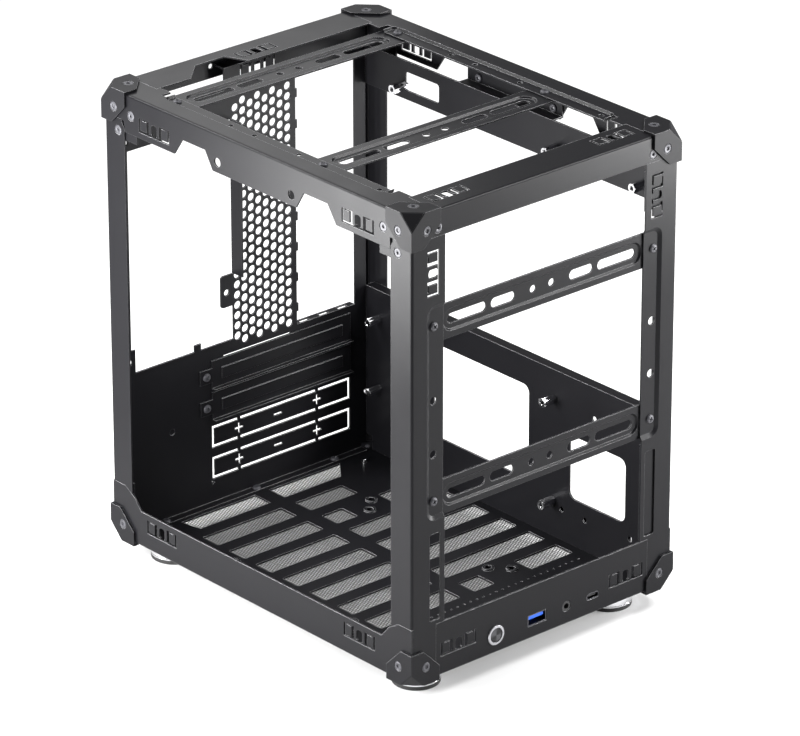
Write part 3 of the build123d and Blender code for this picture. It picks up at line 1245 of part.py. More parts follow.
def button_nut():
    """Hexagon nut that clamps the switch to the apron."""
    nut = extrude(RegularPolygon(NUT_FLATS / 2, 6, major_radius=False), amount=NUT_THICKNESS)
    nut = nut - Cylinder(BARREL_RADIUS, 3 * NUT_THICKNESS)
    return facing((BUTTON_X, apron_back(), PORT_Z), (0, 1, 0)) * nut


def board_top():
    """Top face of the port board, under the widest port."""
    return PORT_Z - JACK_BODY / 2


def usb_a_shell():
    """Metal shell of the wide port."""
    outer = Pos(USB_A_X, PORT_Z) * Rectangle(USB_A_WIDTH, USB_A_HEIGHT)
    inner = Pos(USB_A_X, PORT_Z) * Rectangle(USB_A_WIDTH - 2 * SHELL_WALL, USB_A_HEIGHT - 2 * SHELL_WALL)
    shell = plate("y", -HALF_D + PORT_CLEARANCE, outer - inner, USB_A_LENGTH)
    back = plate("y", -HALF_D + PORT_CLEARANCE + USB_A_LENGTH - SHELL_WALL, outer, SHELL_WALL)
    leg_y = apron_back() + BOARD_FRONT_GAP
    legs = slab(USB_A_X - USB_A_WIDTH / 4, USB_A_X + USB_A_WIDTH / 4, leg_y, leg_y + USB_A_LEG,
                board_top(), PORT_Z - USB_A_HEIGHT / 2)
    return shell + back + legs


def usb_a_tongue():
    """Coloured contact tongue of the wide port, on its rear block."""
    y = -HALF_D + PORT_CLEARANCE + TONGUE_INSET
    back = -HALF_D + PORT_CLEARANCE + USB_A_LENGTH - SHELL_WALL
    half = USB_A_WIDTH / 2 - SHELL_WALL
    low = PORT_Z + USB_A_TONGUE_LIFT
    tongue_half = half - TONGUE_INSET
    tongue = slab(USB_A_X - tongue_half, USB_A_X + tongue_half, y, back, low, low + USB_A_TONGUE)
    rise = USB_A_HEIGHT / 2 - SHELL_WALL
    block = slab(USB_A_X - half, USB_A_X + half, back - USB_A_BLOCK, back, PORT_Z - rise, PORT_Z + rise)
    return tongue + block


def audio_jack():
    """Headphone socket: round nose in the apron and a square body on the board."""
    nose_y = -HALF_D + PORT_CLEARANCE + JACK_NOSE / 2
    nose = bore((JACK_X, nose_y, PORT_Z), (0, -1, 0), JACK_RADIUS, JACK_NOSE)
    half = JACK_BODY / 2
    front = apron_back() + PORT_CLEARANCE
    body = slab(JACK_X - half, JACK_X + half, front, front + JACK_LENGTH, PORT_Z - half, PORT_Z + half)
    depth = JACK_LENGTH - JACK_BACK_WALL
    socket = bore((JACK_X, -HALF_D, PORT_Z), (0, -1, 0), JACK_BORE_RADIUS, 2 * depth)
    return nose + body - socket


def usb_c_shell():
    """Metal shell of the small oval port."""
    outer = Pos(USB_C_X, PORT_Z) * SlotOverall(USB_C_WIDTH, USB_C_HEIGHT)
    inner = Pos(USB_C_X, PORT_Z) * SlotOverall(USB_C_WIDTH - 2 * SHELL_WALL, USB_C_HEIGHT - 2 * SHELL_WALL)
    start = -HALF_D + PORT_CLEARANCE
    shell = plate("y", start, outer - inner, USB_C_LENGTH)
    back = plate("y", start + USB_C_LENGTH - SHELL_WALL, outer, SHELL_WALL)
    leg_y = apron_back() + BOARD_FRONT_GAP
    half = USB_C_LEG_WIDTH / 2
    top = PORT_Z - USB_C_HEIGHT / 2 + SHELL_WALL / 2
    legs = slab(USB_C_X - half, USB_C_X + half, leg_y, leg_y + USB_C_LEG, board_top(), top)
    return shell + back + legs


def usb_c_tongue():
    """Contact tongue of the small oval port."""
    y = -HALF_D + PORT_CLEARANCE
    back = y + USB_C_LENGTH - SHELL_WALL
    half = USB_C_TONGUE_WIDTH / 2
    rise = USB_C_TONGUE / 2
    return slab(USB_C_X - half, USB_C_X + half, y + TONGUE_INSET, back, PORT_Z - rise, PORT_Z + rise)


def board_post_points():
    """Posts under the port board."""
    rear = apron_back() + BOARD_FRONT_GAP + BOARD_DEPTH - BOARD_POST_INSET
    return [(BOARD_LEFT + BOARD_POST_INSET, rear), (BOARD_RIGHT - BOARD_POST_INSET, rear)]


def port_board():
    """Circuit board that carries the front ports."""
    front = apron_back() + BOARD_FRONT_GAP
    sheet = area(BOARD_LEFT, BOARD_RIGHT, front, front + BOARD_DEPTH)
    sheet = sheet - dots(board_post_points(), SCREW_HOLE_RADIUS)
    return plate("z", board_top() - BOARD_THICKNESS, sheet, BOARD_THICKNESS)


def board_posts():
    """Round posts between the floor and the port board, each with its screw from above."""
    height = board_top() - BOARD_THICKNESS - SHEET
    pieces = []
    for x, y in board_post_points():
        spacer = Cylinder(BOARD_POST_RADIUS, height, align=(Align.CENTER, Align.CENTER, Align.MIN))
        spacer = spacer - Cylinder(SCREW_HOLE_RADIUS, 3 * height)
        pieces.append(Pos(x, y, SHEET) * spacer)
    return pieces


def board_screws():
    """Screws through the port board and its posts into the floor."""
    top = board_top()
    return [Pos(x, y, top) * pan_screw(top) for x, y in board_post_points()]


# Export

def save(name, shape):
    """Write one named piece, or a group of equal pieces, lifted onto its feet."""
    pieces = shape if isinstance(shape, list) else [shape]
    lifted = [Pos(0, 0, FOOT_HEIGHT) * piece for piece in pieces]
    result = lifted[0] if len(lifted) == 1 else Compound(children=lifted)
    export_step(result, "parts/" + name + ".step")


def save_frame():
    """Base, rails, posts, brackets and caps."""
    save("base_tray", base_tray())
    save("dust_filter", dust_filter())
    rail = side_rail()
    save("top_rail_left", rail)
    save("top_rail_right", mirrored_x(rail))
    save("top_rail_front", front_rail())
    save("top_rail_rear", rear_rail())
    front = front_post()
    rear = rear_post()
    bracket = corner_bracket()
    save("post_front_left", front)
    save("post_front_right", mirrored_x(front))
    save("post_rear_left", rear)
    save("post_rear_right", mirrored_x(rear))
    save("bracket_front_left", bracket)
    save("bracket_front_right", mirrored_x(bracket))
    save("bracket_rear_left", mirrored_y(bracket))
    save("bracket_rear_right", mirrored_x(mirrored_y(bracket)))
    save("bracket_rivets", rivets())
    shell = cap_shell()
    for corner in CORNERS:
        save("cap_" + corner_name(*corner), corner_place(shell, *corner))
    save("cap_screws", cap_screws())


def save_bars():
    """Cross bars, drive bars and their screws."""
    rear, front = crossbars()
    save("crossbar_rear", rear)
    save("crossbar_front", front)
    upper, lower = drive_bars()
    save("drive_bar_upper", upper)
    save("drive_bar_lower", lower)
    save("bar_screws", bar_screws())


def save_back():
    """Rear panel, slot covers, board plates and stand-offs."""
    save("rear_panel", rear_panel())
    save("slot_cover_lower", slot_cover(2))
    save("slot_cover_upper", slot_cover(3))
    save("slot_cover_screws", cover_screws())
    save("motherboard_tray", motherboard_tray())
    save("motherboard_band", motherboard_band())
    save("band_screws", band_screws())
    save("floor_screws", floor_screws())
    save("standoffs", standoffs())


def save_feet():
    """Feet, pads and foot screws."""
    ring = foot_ring()
    pad = foot_pad()
    for x, y in foot_points():
        name = ("front" if y < 0 else "rear") + "_" + ("left" if x < 0 else "right")
        save("foot_ring_" + name, Pos(x, y, 0) * ring)
        save("foot_pad_" + name, Pos(x, y, 0) * pad)
    save("foot_screws", foot_screws())


def save_ports():
    """Power switch and front ports."""
    save("power_button", power_button())
    save("power_button_housing", button_housing())
    save("power_button_nut", button_nut())
    save("usb_a_shell", usb_a_shell())
    save("usb_a_tongue", usb_a_tongue())
    save("audio_jack", audio_jack())
    save("usb_c_shell", usb_c_shell())
    save("usb_c_tongue", usb_c_tongue())
    save("port_board", port_board())
    save("port_board_posts", board_posts())
    save("port_board_screws", board_screws())


os.makedirs("parts", exist_ok=True)
save_frame()
save_bars()
save_back()
save_feet()
save_ports()
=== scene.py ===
"""Looks of the open-frame computer case, dressed around its fixed frame."""
import json
import math

import bmesh
import bpy
from bpy.props import FloatProperty, FloatVectorProperty, PointerProperty
from mathutils import Matrix, Vector


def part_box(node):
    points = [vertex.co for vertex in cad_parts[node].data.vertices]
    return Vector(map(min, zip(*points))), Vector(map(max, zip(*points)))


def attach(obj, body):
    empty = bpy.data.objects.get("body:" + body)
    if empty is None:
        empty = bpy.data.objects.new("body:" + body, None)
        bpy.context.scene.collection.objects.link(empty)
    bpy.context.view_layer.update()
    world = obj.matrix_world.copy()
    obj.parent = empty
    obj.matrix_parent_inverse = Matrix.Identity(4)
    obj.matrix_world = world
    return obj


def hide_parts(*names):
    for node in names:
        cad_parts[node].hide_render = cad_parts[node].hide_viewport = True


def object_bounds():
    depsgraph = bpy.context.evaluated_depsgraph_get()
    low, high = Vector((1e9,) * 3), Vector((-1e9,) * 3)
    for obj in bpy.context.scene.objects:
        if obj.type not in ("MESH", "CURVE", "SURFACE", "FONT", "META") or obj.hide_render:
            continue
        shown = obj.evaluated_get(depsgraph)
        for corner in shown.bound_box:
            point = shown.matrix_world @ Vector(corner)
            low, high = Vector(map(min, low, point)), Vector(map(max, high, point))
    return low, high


bl_info = {
    "name": "Computer case looks",
    "version": (1, 0, 0),
    "blender": (4, 5, 0),
    "location": "View3D > Sidebar > Case",
    "description": "Finishes, fasteners, mesh filter and feet of an open-frame computer case",
    "category": "Object",
}

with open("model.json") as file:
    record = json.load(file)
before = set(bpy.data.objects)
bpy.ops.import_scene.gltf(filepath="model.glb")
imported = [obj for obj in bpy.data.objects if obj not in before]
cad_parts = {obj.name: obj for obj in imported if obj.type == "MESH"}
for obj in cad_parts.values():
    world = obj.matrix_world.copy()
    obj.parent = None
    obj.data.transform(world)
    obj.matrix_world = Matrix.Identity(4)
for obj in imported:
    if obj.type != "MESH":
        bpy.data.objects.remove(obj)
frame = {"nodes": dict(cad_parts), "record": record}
CAD_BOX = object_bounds()
BODY = "frame"
MM = 0.001
SHARP_ANGLE = 32
WELD = 1e-7
SOLID_WELD = 1e-6
CELL_WELD = 0.01 * MM

# Camera of the photograph: pixels, a sensor in millimetres, then degrees and metres
IMAGE_WIDTH = 800
FOCAL_PIXELS = 5624.283
SENSOR_WIDTH = 36.0
AZIMUTH = -41.4195
ELEVATION = 24.1147
ROLL = -0.026
DISTANCE = 3.24106
SHIFT_RIGHT = 0.00629
SHIFT_UP = -0.018636
AIM_HEIGHT = 0.1556
VIEW_REACH = 30.0

# Floor windows, measured from the sides and the back of the base
WINDOW_ROWS = 8
WINDOW_PITCH = 24.2 * MM
WINDOW_HEIGHT = 14.4 * MM
WINDOW_FIRST_INSET = 24.0 * MM
WINDOW_LEFT_INSET = 33.5 * MM
WINDOW_RIGHT_INSET = 16.5 * MM
WINDOW_RIB = 5.5 * MM
FIRST_ROW_INSET = 4.0 * MM
FIRST_ROW_SHORT = 21.9 * MM
SECOND_ROW_SHORT = 41.1 * MM
FAN_GAP = (21.5 * MM, 49.8 * MM)
FAN_GAP_ROWS = (2, 7)

# Fasteners
SHANK_RADIUS = 1.45 * MM
CAP_HEAD_RADIUS = 2.8 * MM
CAP_HEAD_HEIGHT = 0.8 * MM
CAP_SOCKET_FLATS = 2.3 * MM
CAP_RIM = 0.18 * MM
PAN_HEAD_RADIUS = 2.6 * MM
PAN_HEAD_HEIGHT = 1.4 * MM
RIVET_RADIUS = 2.8 * MM
RIVET_SHANK_RADIUS = 1.55 * MM
STANDOFF_FLATS = 5.5 * MM
STANDOFF_HEIGHT = 10.0 * MM
STANDOFF_BORE_RADIUS = 1.25 * MM
STANDOFF_CHAMFER = 0.4 * MM

# Feet
FOOT_WALL = 0.9 * MM
FOOT_CAVITY_INSET = 3.3 * MM
FOOT_BORE_RADIUS = 1.6 * MM
FOOT_LIP = 0.8 * MM
FOOT_SEAT_HEIGHT = 2.5 * MM
FOOT_ROOF = 2.5 * MM
PAD_OVERHANG = 0.7 * MM
PAD_GROOVES = (0.8, 0.45)
ROUND_SIDES = 96

# Edges of a coat, whose colour is lightened as a thinner coat and as a painted highlight that is strongest on
# edges that face up: limits of the turn and of the upward share, and what is left on an edge that faces down
EDGE_TURN = (0.01, 0.2)
EDGE_HIGHLIGHT_UPWARD = (0.1, 0.6)
EDGE_LEAST = 0.12

# Stage: lamps by name, place, aim, width, height and strength
FLOOR_HALF_SIZE = 6.0
FLOOR_COLOUR = (0.62, 0.62, 0.62, 1.0)
WHITE = (1.0, 1.0, 1.0, 1.0)
LAMPS = (
    ("left_light", (-0.42, 0.09, 0.2), (-0.1, -0.1, 0.28), 0.34, 0.24, "left_power"),
    ("right_light", (0.47, -0.45, 0.19), (0.12, -0.13, 0.28), 0.28, 0.2, "right_power"),
    ("top_light", (0.0, 0.1, 1.7), (0.0, 0.0, 0.0), 1.6, 1.6, "top_power"),
    ("back_light", (0.2, 0.5, 0.56), (-0.08, 0.0, 0.3), 0.4, 0.25, "back_power"),
    ("left_edge_light", (-0.34, 0.4, 0.66), (-0.1, 0.0, 0.28), 0.3, 0.2, "edge_power"),
    ("right_edge_light", (0.36, -0.36, 0.7), (0.0, -0.13, 0.28), 0.3, 0.2, "edge_power"),
)


# Shader building

class Term:
    """A number in a shader: the usual signs on it add Math nodes."""

    def __init__(self, tree, socket):
        self.tree = tree
        self.socket = socket

    def math(self, operation, first, second):
        """One Math node of two numbers or terms."""
        return self.tree.node("ShaderNodeMath", {"operation": operation}, {0: first, 1: second})

    def __add__(self, other):
        return self.math("ADD", self, other)

    def __radd__(self, other):
        return self.math("ADD", other, self)

    def __sub__(self, other):
        return self.math("SUBTRACT", self, other)

    def __rsub__(self, other):
        return self.math("SUBTRACT", other, self)

    def __mul__(self, other):
        return self.math("MULTIPLY", self, other)

    def __rmul__(self, other):
        return self.math("MULTIPLY", other, self)

    def __truediv__(self, other):
        return self.math("DIVIDE", self, other)


class Tree:
    """A shader tree that is being built, of a material or of the world."""

    def __init__(self, owner):
        owner.use_nodes = True
        self.owner = owner
        self.nodes = owner.node_tree.nodes
        self.links = owner.node_tree.links
        self.nodes.clear()

    def node(self, kind, settings=None, sockets=None, out=0):
        """Add a node: its settings first, then the values or links of its sockets."""
        made = self.nodes.new(kind)
        for name, value in (settings or {}).items():
            setattr(made, name, value)
        for place, value in (sockets or {}).items():
            if isinstance(value, Term):
                self.links.new(value.socket, made.inputs[place])
            else:
                made.inputs[place].default_value = value
        return Term(self, made.outputs[out])

    def vector(self, operation, sockets, out="Vector"):
        """One Vector Math node."""
        return self.node("ShaderNodeVectorMath", {"operation": operation}, sockets, out=out)

    def place(self, stretch=(1.0, 1.0, 1.0), centre=(0.0, 0.0, 0.0)):
        """Object coordinates, moved to a centre and stretched."""
        coordinates = self.node("ShaderNodeTexCoord", out="Object")
        shift = [-c * s for c, s in zip(centre, stretch)]
        return self.node("ShaderNodeMapping", None,
                         {"Vector": coordinates, "Location": shift, "Scale": stretch})

    def noise(self, size, detail=2.0, place=None):
        """Soft noise whose grains have a size in metres."""
        place = place or self.place()
        return self.node("ShaderNodeTexNoise", None, {"Vector": place, "Scale": 1 / size, "Detail": detail})

    def fade(self, value, low, high, to_low=0.0, to_high=1.0):
        """Smooth step of a value between two limits."""
        sockets = {"Value": value, "From Min": low, "From Max": high, "To Min": to_low, "To Max": to_high}
        return self.node("ShaderNodeMapRange", {"interpolation_type": "SMOOTHSTEP"}, sockets)

    def blend(self, factor, first, second):
        """Mix of two colours."""
        sockets = {0: factor, 6: first, 7: second}
        return self.node("ShaderNodeMix", {"data_type": "RGBA"}, sockets, out=2)

    def edges(self, radius, samples=4):
        """Normal with softened edges, and how much of an edge lies here, weighted towards edges that face up;
        where it lightens a colour, it paints a highlight.
        """
        soft = self.node("ShaderNodeBevel", {"samples": samples}, {"Radius": radius})
        flat = self.node("ShaderNodeNewGeometry", out="Normal")
        along = self.vector("DOT_PRODUCT", {0: soft, 1: flat}, "Value")
        upright = self.node("ShaderNodeSeparateXYZ", None, {0: soft}, out=2)
        # The upward share makes a painted highlight on edges that face up, as light from above would catch a
        # rounded edge.
        return soft, self.fade(1 - along, *EDGE_TURN) * self.fade(upright, *EDGE_HIGHLIGHT_UPWARD, EDGE_LEAST, 1.0)

    def bump(self, height, depth, strength=1.0, normal=None):
        """Bumps of a depth in metres."""
        sockets = {"Strength": strength, "Distance": depth, "Height": height}
        if normal:
            sockets["Normal"] = normal
        return self.node("ShaderNodeBump", None, sockets)

    def finish(self, **values):
        """Close a material with its surface shader."""
        names = {name.replace("_", " ").title().replace("Ior", "IOR"): v for name, v in values.items()}
        shader = self.node("ShaderNodeBsdfPrincipled", None, names)
        output = self.nodes.new("ShaderNodeOutputMaterial")
        self.links.new(shader.socket, output.inputs["Surface"])
        return self.owner


def colour(values):
    """Colour with full cover."""
    return (values[0], values[1], values[2], 1.0)


# Finishes

def powder_coat(name, looks, grain, grain_depth, roughness, edge_round, edge_wear_and_highlight):
    """Satin black powder coat: fine peel, faint clouds of gloss and, along the edges, a paler, thinner coat
    together with a painted highlight that is strongest on edges that face up.
    """
    tree = Tree(bpy.data.materials.new(name))
    soft, edge = tree.edges(edge_round)
    cloud = tree.noise(looks.cloud_size, detail=3.0)
    peel = tree.noise(grain, detail=2.0)
    base = tree.blend(cloud, colour([c * 0.88 for c in looks.coat_colour]), colour(looks.coat_colour))
    # Paler edges: in part a thinner coat, in part a painted highlight on edges that face up.
    base = tree.blend(edge * edge_wear_and_highlight, base, colour(looks.edge_coat_and_highlight_colour))
    gloss = roughness + (cloud - 0.5) * 0.10 + (peel - 0.5) * 0.06
    return tree.finish(base_color=base, roughness=gloss, specular_ior_level=looks.coat_specular,
                       normal=tree.bump(peel, grain_depth, 0.6, soft))


def turned_metal(name, tint, roughness, line_size, stretch):
    """Bright plated metal with fine lines left by turning or brushing."""
    tree = Tree(bpy.data.materials.new(name))
    soft, edge = tree.edges(0.15 * MM)
    lines = tree.noise(line_size, detail=2.0, place=tree.place(stretch))
    smudge = tree.noise(6 * MM, detail=3.0)
    base = tree.blend(smudge, colour([c * 0.86 for c in tint]), colour(tint))
    gloss = roughness + (lines - 0.5) * 0.12 + (smudge - 0.5) * 0.08 + edge * 0.05
    return tree.finish(base_color=base, metallic=1.0, roughness=gloss,
                       normal=tree.bump(lines, 0.01 * MM, 0.5, soft))


def moulded(name, tint, roughness, grain, depth, specular=0.4):
    """Moulded plastic or rubber with a fine spark-eroded grain."""
    tree = Tree(bpy.data.materials.new(name))
    soft, edge = tree.edges(0.2 * MM)
    cloud = tree.noise(4 * MM, detail=3.0)
    grains = tree.noise(grain, detail=3.0)
    base = tree.blend(cloud, colour([c * 0.85 for c in tint]), colour(tint))
    # Paler edges, strongest where they face up: a painted highlight.
    base = tree.blend(edge * 0.3, base, colour([min(1.0, c * 1.8 + 0.01) for c in tint]))
    gloss = roughness + (grains - 0.5) * 0.2 + (cloud - 0.5) * 0.1
    return tree.finish(base_color=base, roughness=gloss, specular_ior_level=specular,
                       normal=tree.bump(grains, depth, 0.7, soft))


def solder_mask(name, tint):
    """Glossy board lacquer over faint copper tracks."""
    tree = Tree(bpy.data.materials.new(name))
    sockets = {"Vector": tree.place(), "Scale": 260.0, "Mortar Size": 0.18, "Mortar Smooth": 0.3}
    tracks = tree.node("ShaderNodeTexBrick", {"offset": 0.37}, sockets, out="Fac")
    cloud = tree.noise(3 * MM, detail=3.0)
    base = tree.blend(tracks, colour(tint), colour([c * 1.9 for c in tint]))
    return tree.finish(base_color=base, roughness=0.28 + (cloud - 0.5) * 0.12,
                       normal=tree.bump(tracks, 0.03 * MM, 0.6))


def brushed_disc(name, tint, centre):
    """Dark button face, brushed in circles round its centre, with a painted sheen of two pale and two dark
    sectors.
    """
    tree = Tree(bpy.data.materials.new(name))
    soft, edge = tree.edges(0.12 * MM)
    place = tree.place((1.0, 0.0, 1.0), centre)
    radius = tree.vector("LENGTH", {0: place}, "Value")
    rings = tree.node("ShaderNodeTexNoise", {"noise_dimensions": "1D"}, {"W": radius * 9000.0, "Detail": 2.0})
    parts = tree.node("ShaderNodeSeparateXYZ", None, {0: place}).socket.node.outputs
    across = Term(tree, parts["X"])
    upright = Term(tree, parts["Z"])
    # Painted sheen: pale and dark sectors by the angle round the centre, in place of the reflection off the
    # circular brushing.
    sheen = tree.fade(across * upright * -1.0 / (radius * radius + 1e-9), -0.45, 0.45)
    base = tree.blend(sheen, colour([c * 0.35 for c in tint]), colour([c * 2.2 for c in tint]))
    base = tree.blend(rings * 0.3, base, colour([c * 0.7 for c in tint]))
    # Paler edges, strongest where they face up: a painted highlight.
    base = tree.blend(edge * 0.4, base, colour([0.2, 0.2, 0.2]))
    return tree.finish(base_color=base, metallic=0.6, roughness=0.3 + (rings - 0.5) * 0.2,
                       normal=tree.bump(rings, 0.01 * MM, 0.5, soft))


def make_finishes():
    """All finishes of the case, by the record's material slots."""
    looks = bpy.context.scene.case_looks
    button = middle_of("power_button")
    return {
        "black_sheet": powder_coat("black_sheet", looks, looks.sheet_grain, 0.02 * MM, looks.sheet_roughness,
                                   looks.edge_round, looks.edge_wear_and_highlight),
        "black_cap": powder_coat("black_cap", looks, 0.45 * MM, 0.03 * MM, looks.cap_roughness,
                                 looks.edge_round, looks.edge_wear_and_highlight * 0.7),
        "black_screw": powder_coat("black_screw", looks, 0.6 * MM, 0.01 * MM, looks.screw_roughness,
                                   0.08 * MM, looks.edge_wear_and_highlight * 0.1),
        "filter_sheet": moulded("filter_sheet", (0.035, 0.035, 0.037), 0.5, 0.3 * MM, 0.01 * MM),
        "bright_metal": turned_metal("bright_metal", (0.40, 0.40, 0.42), 0.26, 0.12 * MM, (0.2, 0.2, 1.0)),
        "foot_rubber": moulded("foot_rubber", (0.018, 0.018, 0.019), 0.75, 0.5 * MM, 0.05 * MM, 0.3),
        "button_metal": brushed_disc("button_metal", (0.035, 0.035, 0.038), button),
        "port_metal": turned_metal("port_metal", (0.11, 0.11, 0.12), 0.3, 0.15 * MM, (1.0, 0.15, 1.0)),
        "blue_plastic": moulded("blue_plastic", looks.port_blue, 0.38, 0.25 * MM, 0.008 * MM),
        "black_plastic": moulded("black_plastic", (0.02, 0.02, 0.021), 0.42, 0.25 * MM, 0.01 * MM),
        "circuit_board": solder_mask("circuit_board", (0.008, 0.011, 0.015)),
    }


def finish_of(slot):
    """Finish made for a material slot."""
    return bpy.data.materials[slot]


# Meshes

def middle_of(node):
    """Middle of a node's box."""
    low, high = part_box(node)
    return (low + high) / 2


def mesh_of(name, vertices, faces):
    """Closed mesh with its faces turned outwards and its folds kept sharp."""
    mesh = bpy.data.meshes.new(name)
    mesh.from_pydata([tuple(v) for v in vertices], [], faces)
    form = bmesh.new()
    form.from_mesh(mesh)
    bmesh.ops.remove_doubles(form, verts=form.verts, dist=WELD)
    bmesh.ops.recalc_face_normals(form, faces=form.faces)
    form.to_mesh(mesh)
    form.free()
    return sharpened(mesh)


def sharpened(mesh):
    """Smooth faces with sharp folds."""
    mesh.shade_smooth()
    mesh.set_sharp_from_angle(angle=math.radians(SHARP_ANGLE))
    return mesh


def piece(name, mesh, slot, body=BODY, stands_for=()):
    """A finished piece of the case that rides on a body and may stand for nodes."""
    made = bpy.data.objects.new(name, mesh)
    bpy.context.scene.collection.objects.link(made)
    mesh.materials.clear()
    mesh.materials.append(finish_of(slot))
    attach(made, body)
    if stands_for:
        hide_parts(*stands_for)
    return made


def circle(radius):
    """Round outline."""
    return lambda angle: radius


def hexagon(flats):
    """Hexagon outline of a width across its flats."""
    sixth = math.pi / 3
    return lambda angle: flats / 2 / math.cos(angle % sixth - sixth / 2)


def cross(length, width):
    """Plus-shaped outline of a length and an arm width."""
    def radius(angle):
        across = max(abs(math.cos(angle)), 1e-6)
        along = max(abs(math.sin(angle)), 1e-6)
        flat = min(length / 2 / across, width / 2 / along)
        upright = min(width / 2 / across, length / 2 / along)
        return max(flat, upright)
    return radius


def turned(name, rings, sides=24):
    """Closed mesh through outlines at heights, from the top middle round to the bottom middle."""
    vertices = []
    for height, outline in rings:
        for k in range(sides):
            angle = 2 * math.pi * k / sides
            radius = outline(angle)
            vertices.append((radius * math.cos(angle), radius * math.sin(angle), height))
    faces = [tuple(range(sides))]
    for i in range(len(rings) - 1):
        for k in range(sides):
            after = (k + 1) % sides
            faces.append((i * sides + k, (i + 1) * sides + k, (i + 1) * sides + after, i * sides + after))
    last = (len(rings) - 1) * sides
    faces.append(tuple(last + k for k in reversed(range(sides))))
    return mesh_of(name, vertices, faces)


def islands(node):
    """Boxes of the separate solids of a node."""
    form = bmesh.new()
    form.from_mesh(frame["nodes"][node].data)
    bmesh.ops.remove_doubles(form, verts=form.verts, dist=SOLID_WELD)
    left = set(form.verts)
    boxes = []
    while left:
        stack = [left.pop()]
        found = []
        while stack:
            vertex = stack.pop()
            found.append(vertex.co.copy())
            for edge in vertex.link_edges:
                other = edge.other_vert(vertex)
                if other in left:
                    left.remove(other)
                    stack.append(other)
        low = Vector([min(p[i] for p in found) for i in range(3)])
        high = Vector([max(p[i] for p in found) for i in range(3)])
        boxes.append((low, high))
    form.free()
    return sorted(boxes, key=lambda box: tuple(round(c, 5) for c in box[0]))


def seats(node, outward=True):
    """Head places and directions of a node's fasteners, whose length differs from their width."""
    middle = (CAD_BOX[0] + CAD_BOX[1]) / 2
    places = []
    for low, high in islands(node):
        size = high - low
        odd = [abs(size[i] - size[i - 1]) + abs(size[i] - size[i - 2]) for i in range(3)]
        axis = odd.index(max(odd))
        centre = (low + high) / 2
        away = centre[axis] > middle[axis]
        facing = Vector((0, 0, 0))
        facing[axis] = 1 if away == outward else -1
        head = centre.copy()
        head[axis] = high[axis] if facing[axis] > 0 else low[axis]
        places.append((head, facing))
    return places


# Geometry node trees

class Growth:
    """A geometry node tree that is being built, with named inputs."""

    def __init__(self, name, inputs):
        self.tree = bpy.data.node_groups.new(name, "GeometryNodeTree")
        self.tree.interface.new_socket("Geometry", in_out="INPUT", socket_type="NodeSocketGeometry")
        for label, kind in inputs:
            self.tree.interface.new_socket(label, in_out="INPUT", socket_type=kind)
        self.tree.interface.new_socket("Geometry", in_out="OUTPUT", socket_type="NodeSocketGeometry")
        self.start = self.tree.nodes.new("NodeGroupInput")

    def input(self, label):
        """Output socket of a named input."""
        return self.start.outputs[label]

    def node(self, kind, settings=None, sockets=None, out=0):
        """Add a node: its settings first, then the values or links of its sockets."""
        made = self.tree.nodes.new(kind)
        for name, value in (settings or {}).items():
            setattr(made, name, value)
        for place, value in (sockets or {}).items():
            if isinstance(value, bpy.types.NodeSocket):
                self.tree.links.new(value, made.inputs[place])
            else:
                made.inputs[place].default_value = value
        return made.outputs[out]

    def math(self, operation, first, second=0.0):
        """One Math node."""
        return self.node("ShaderNodeMath", {"operation": operation}, {0: first, 1: second})

    def close(self, geometry):
        """Realize the instances, set the finish and end the tree."""
        solid = self.node("GeometryNodeRealizeInstances", None, {0: geometry})
        sockets = {"Geometry": solid, "Material": self.input("Finish")}
        painted = self.node("GeometryNodeSetMaterial", None, sockets)
        end = self.tree.nodes.new("NodeGroupOutput")
        self.tree.links.new(painted, end.inputs[0])
        return self.tree


def grown(tree, start, values):
    """Plain mesh that a tree grows from a start mesh with given input values."""
    carrier = bpy.data.objects.new("carrier", start)
    bpy.context.scene.collection.objects.link(carrier)
    modifier = carrier.modifiers.new("grow", "NODES")
    modifier.node_group = tree
    for item in tree.interface.items_tree:
        if item.in_out == "INPUT" and item.name in values:
            modifier[item.identifier] = values[item.name]
    bpy.context.view_layer.update()
    shaped = carrier.evaluated_get(bpy.context.evaluated_depsgraph_get())
    mesh = bpy.data.meshes.new_from_object(shaped)
    bpy.data.objects.remove(carrier)
    return mesh


def seat_tree():
    """Tree that sets a part on every seat, its Z along the seat's direction, at a fixed random angle."""
    inputs = [("Part", "NodeSocketObject"), ("Seed", "NodeSocketInt"), ("Finish", "NodeSocketMaterial")]
    growth = Growth("parts_on_seats", inputs)
    facing = growth.node("GeometryNodeInputNamedAttribute", {"data_type": "FLOAT_VECTOR"}, {"Name": "facing"})
    upright = growth.node("FunctionNodeAlignRotationToVector", {"axis": "Z"}, {"Vector": facing})
    turn = growth.node("FunctionNodeRandomValue", {"data_type": "FLOAT"},
                       {2: 0.0, 3: 2 * math.pi, "Seed": growth.input("Seed")}, out=1)
    spin = growth.node("FunctionNodeAxisAngleToRotation", None, {"Axis": (0, 0, 1), "Angle": turn})
    turned_way = growth.node("FunctionNodeRotateRotation", {"rotation_space": "LOCAL"}, {0: upright, 1: spin})
    part = growth.node("GeometryNodeObjectInfo", {"transform_space": "ORIGINAL"},
                       {"Object": growth.input("Part")}, out="Geometry")
    placed = growth.node("GeometryNodeInstanceOnPoints", None,
                         {"Points": growth.input("Geometry"), "Instance": part, "Rotation": turned_way})
    return growth.close(placed)


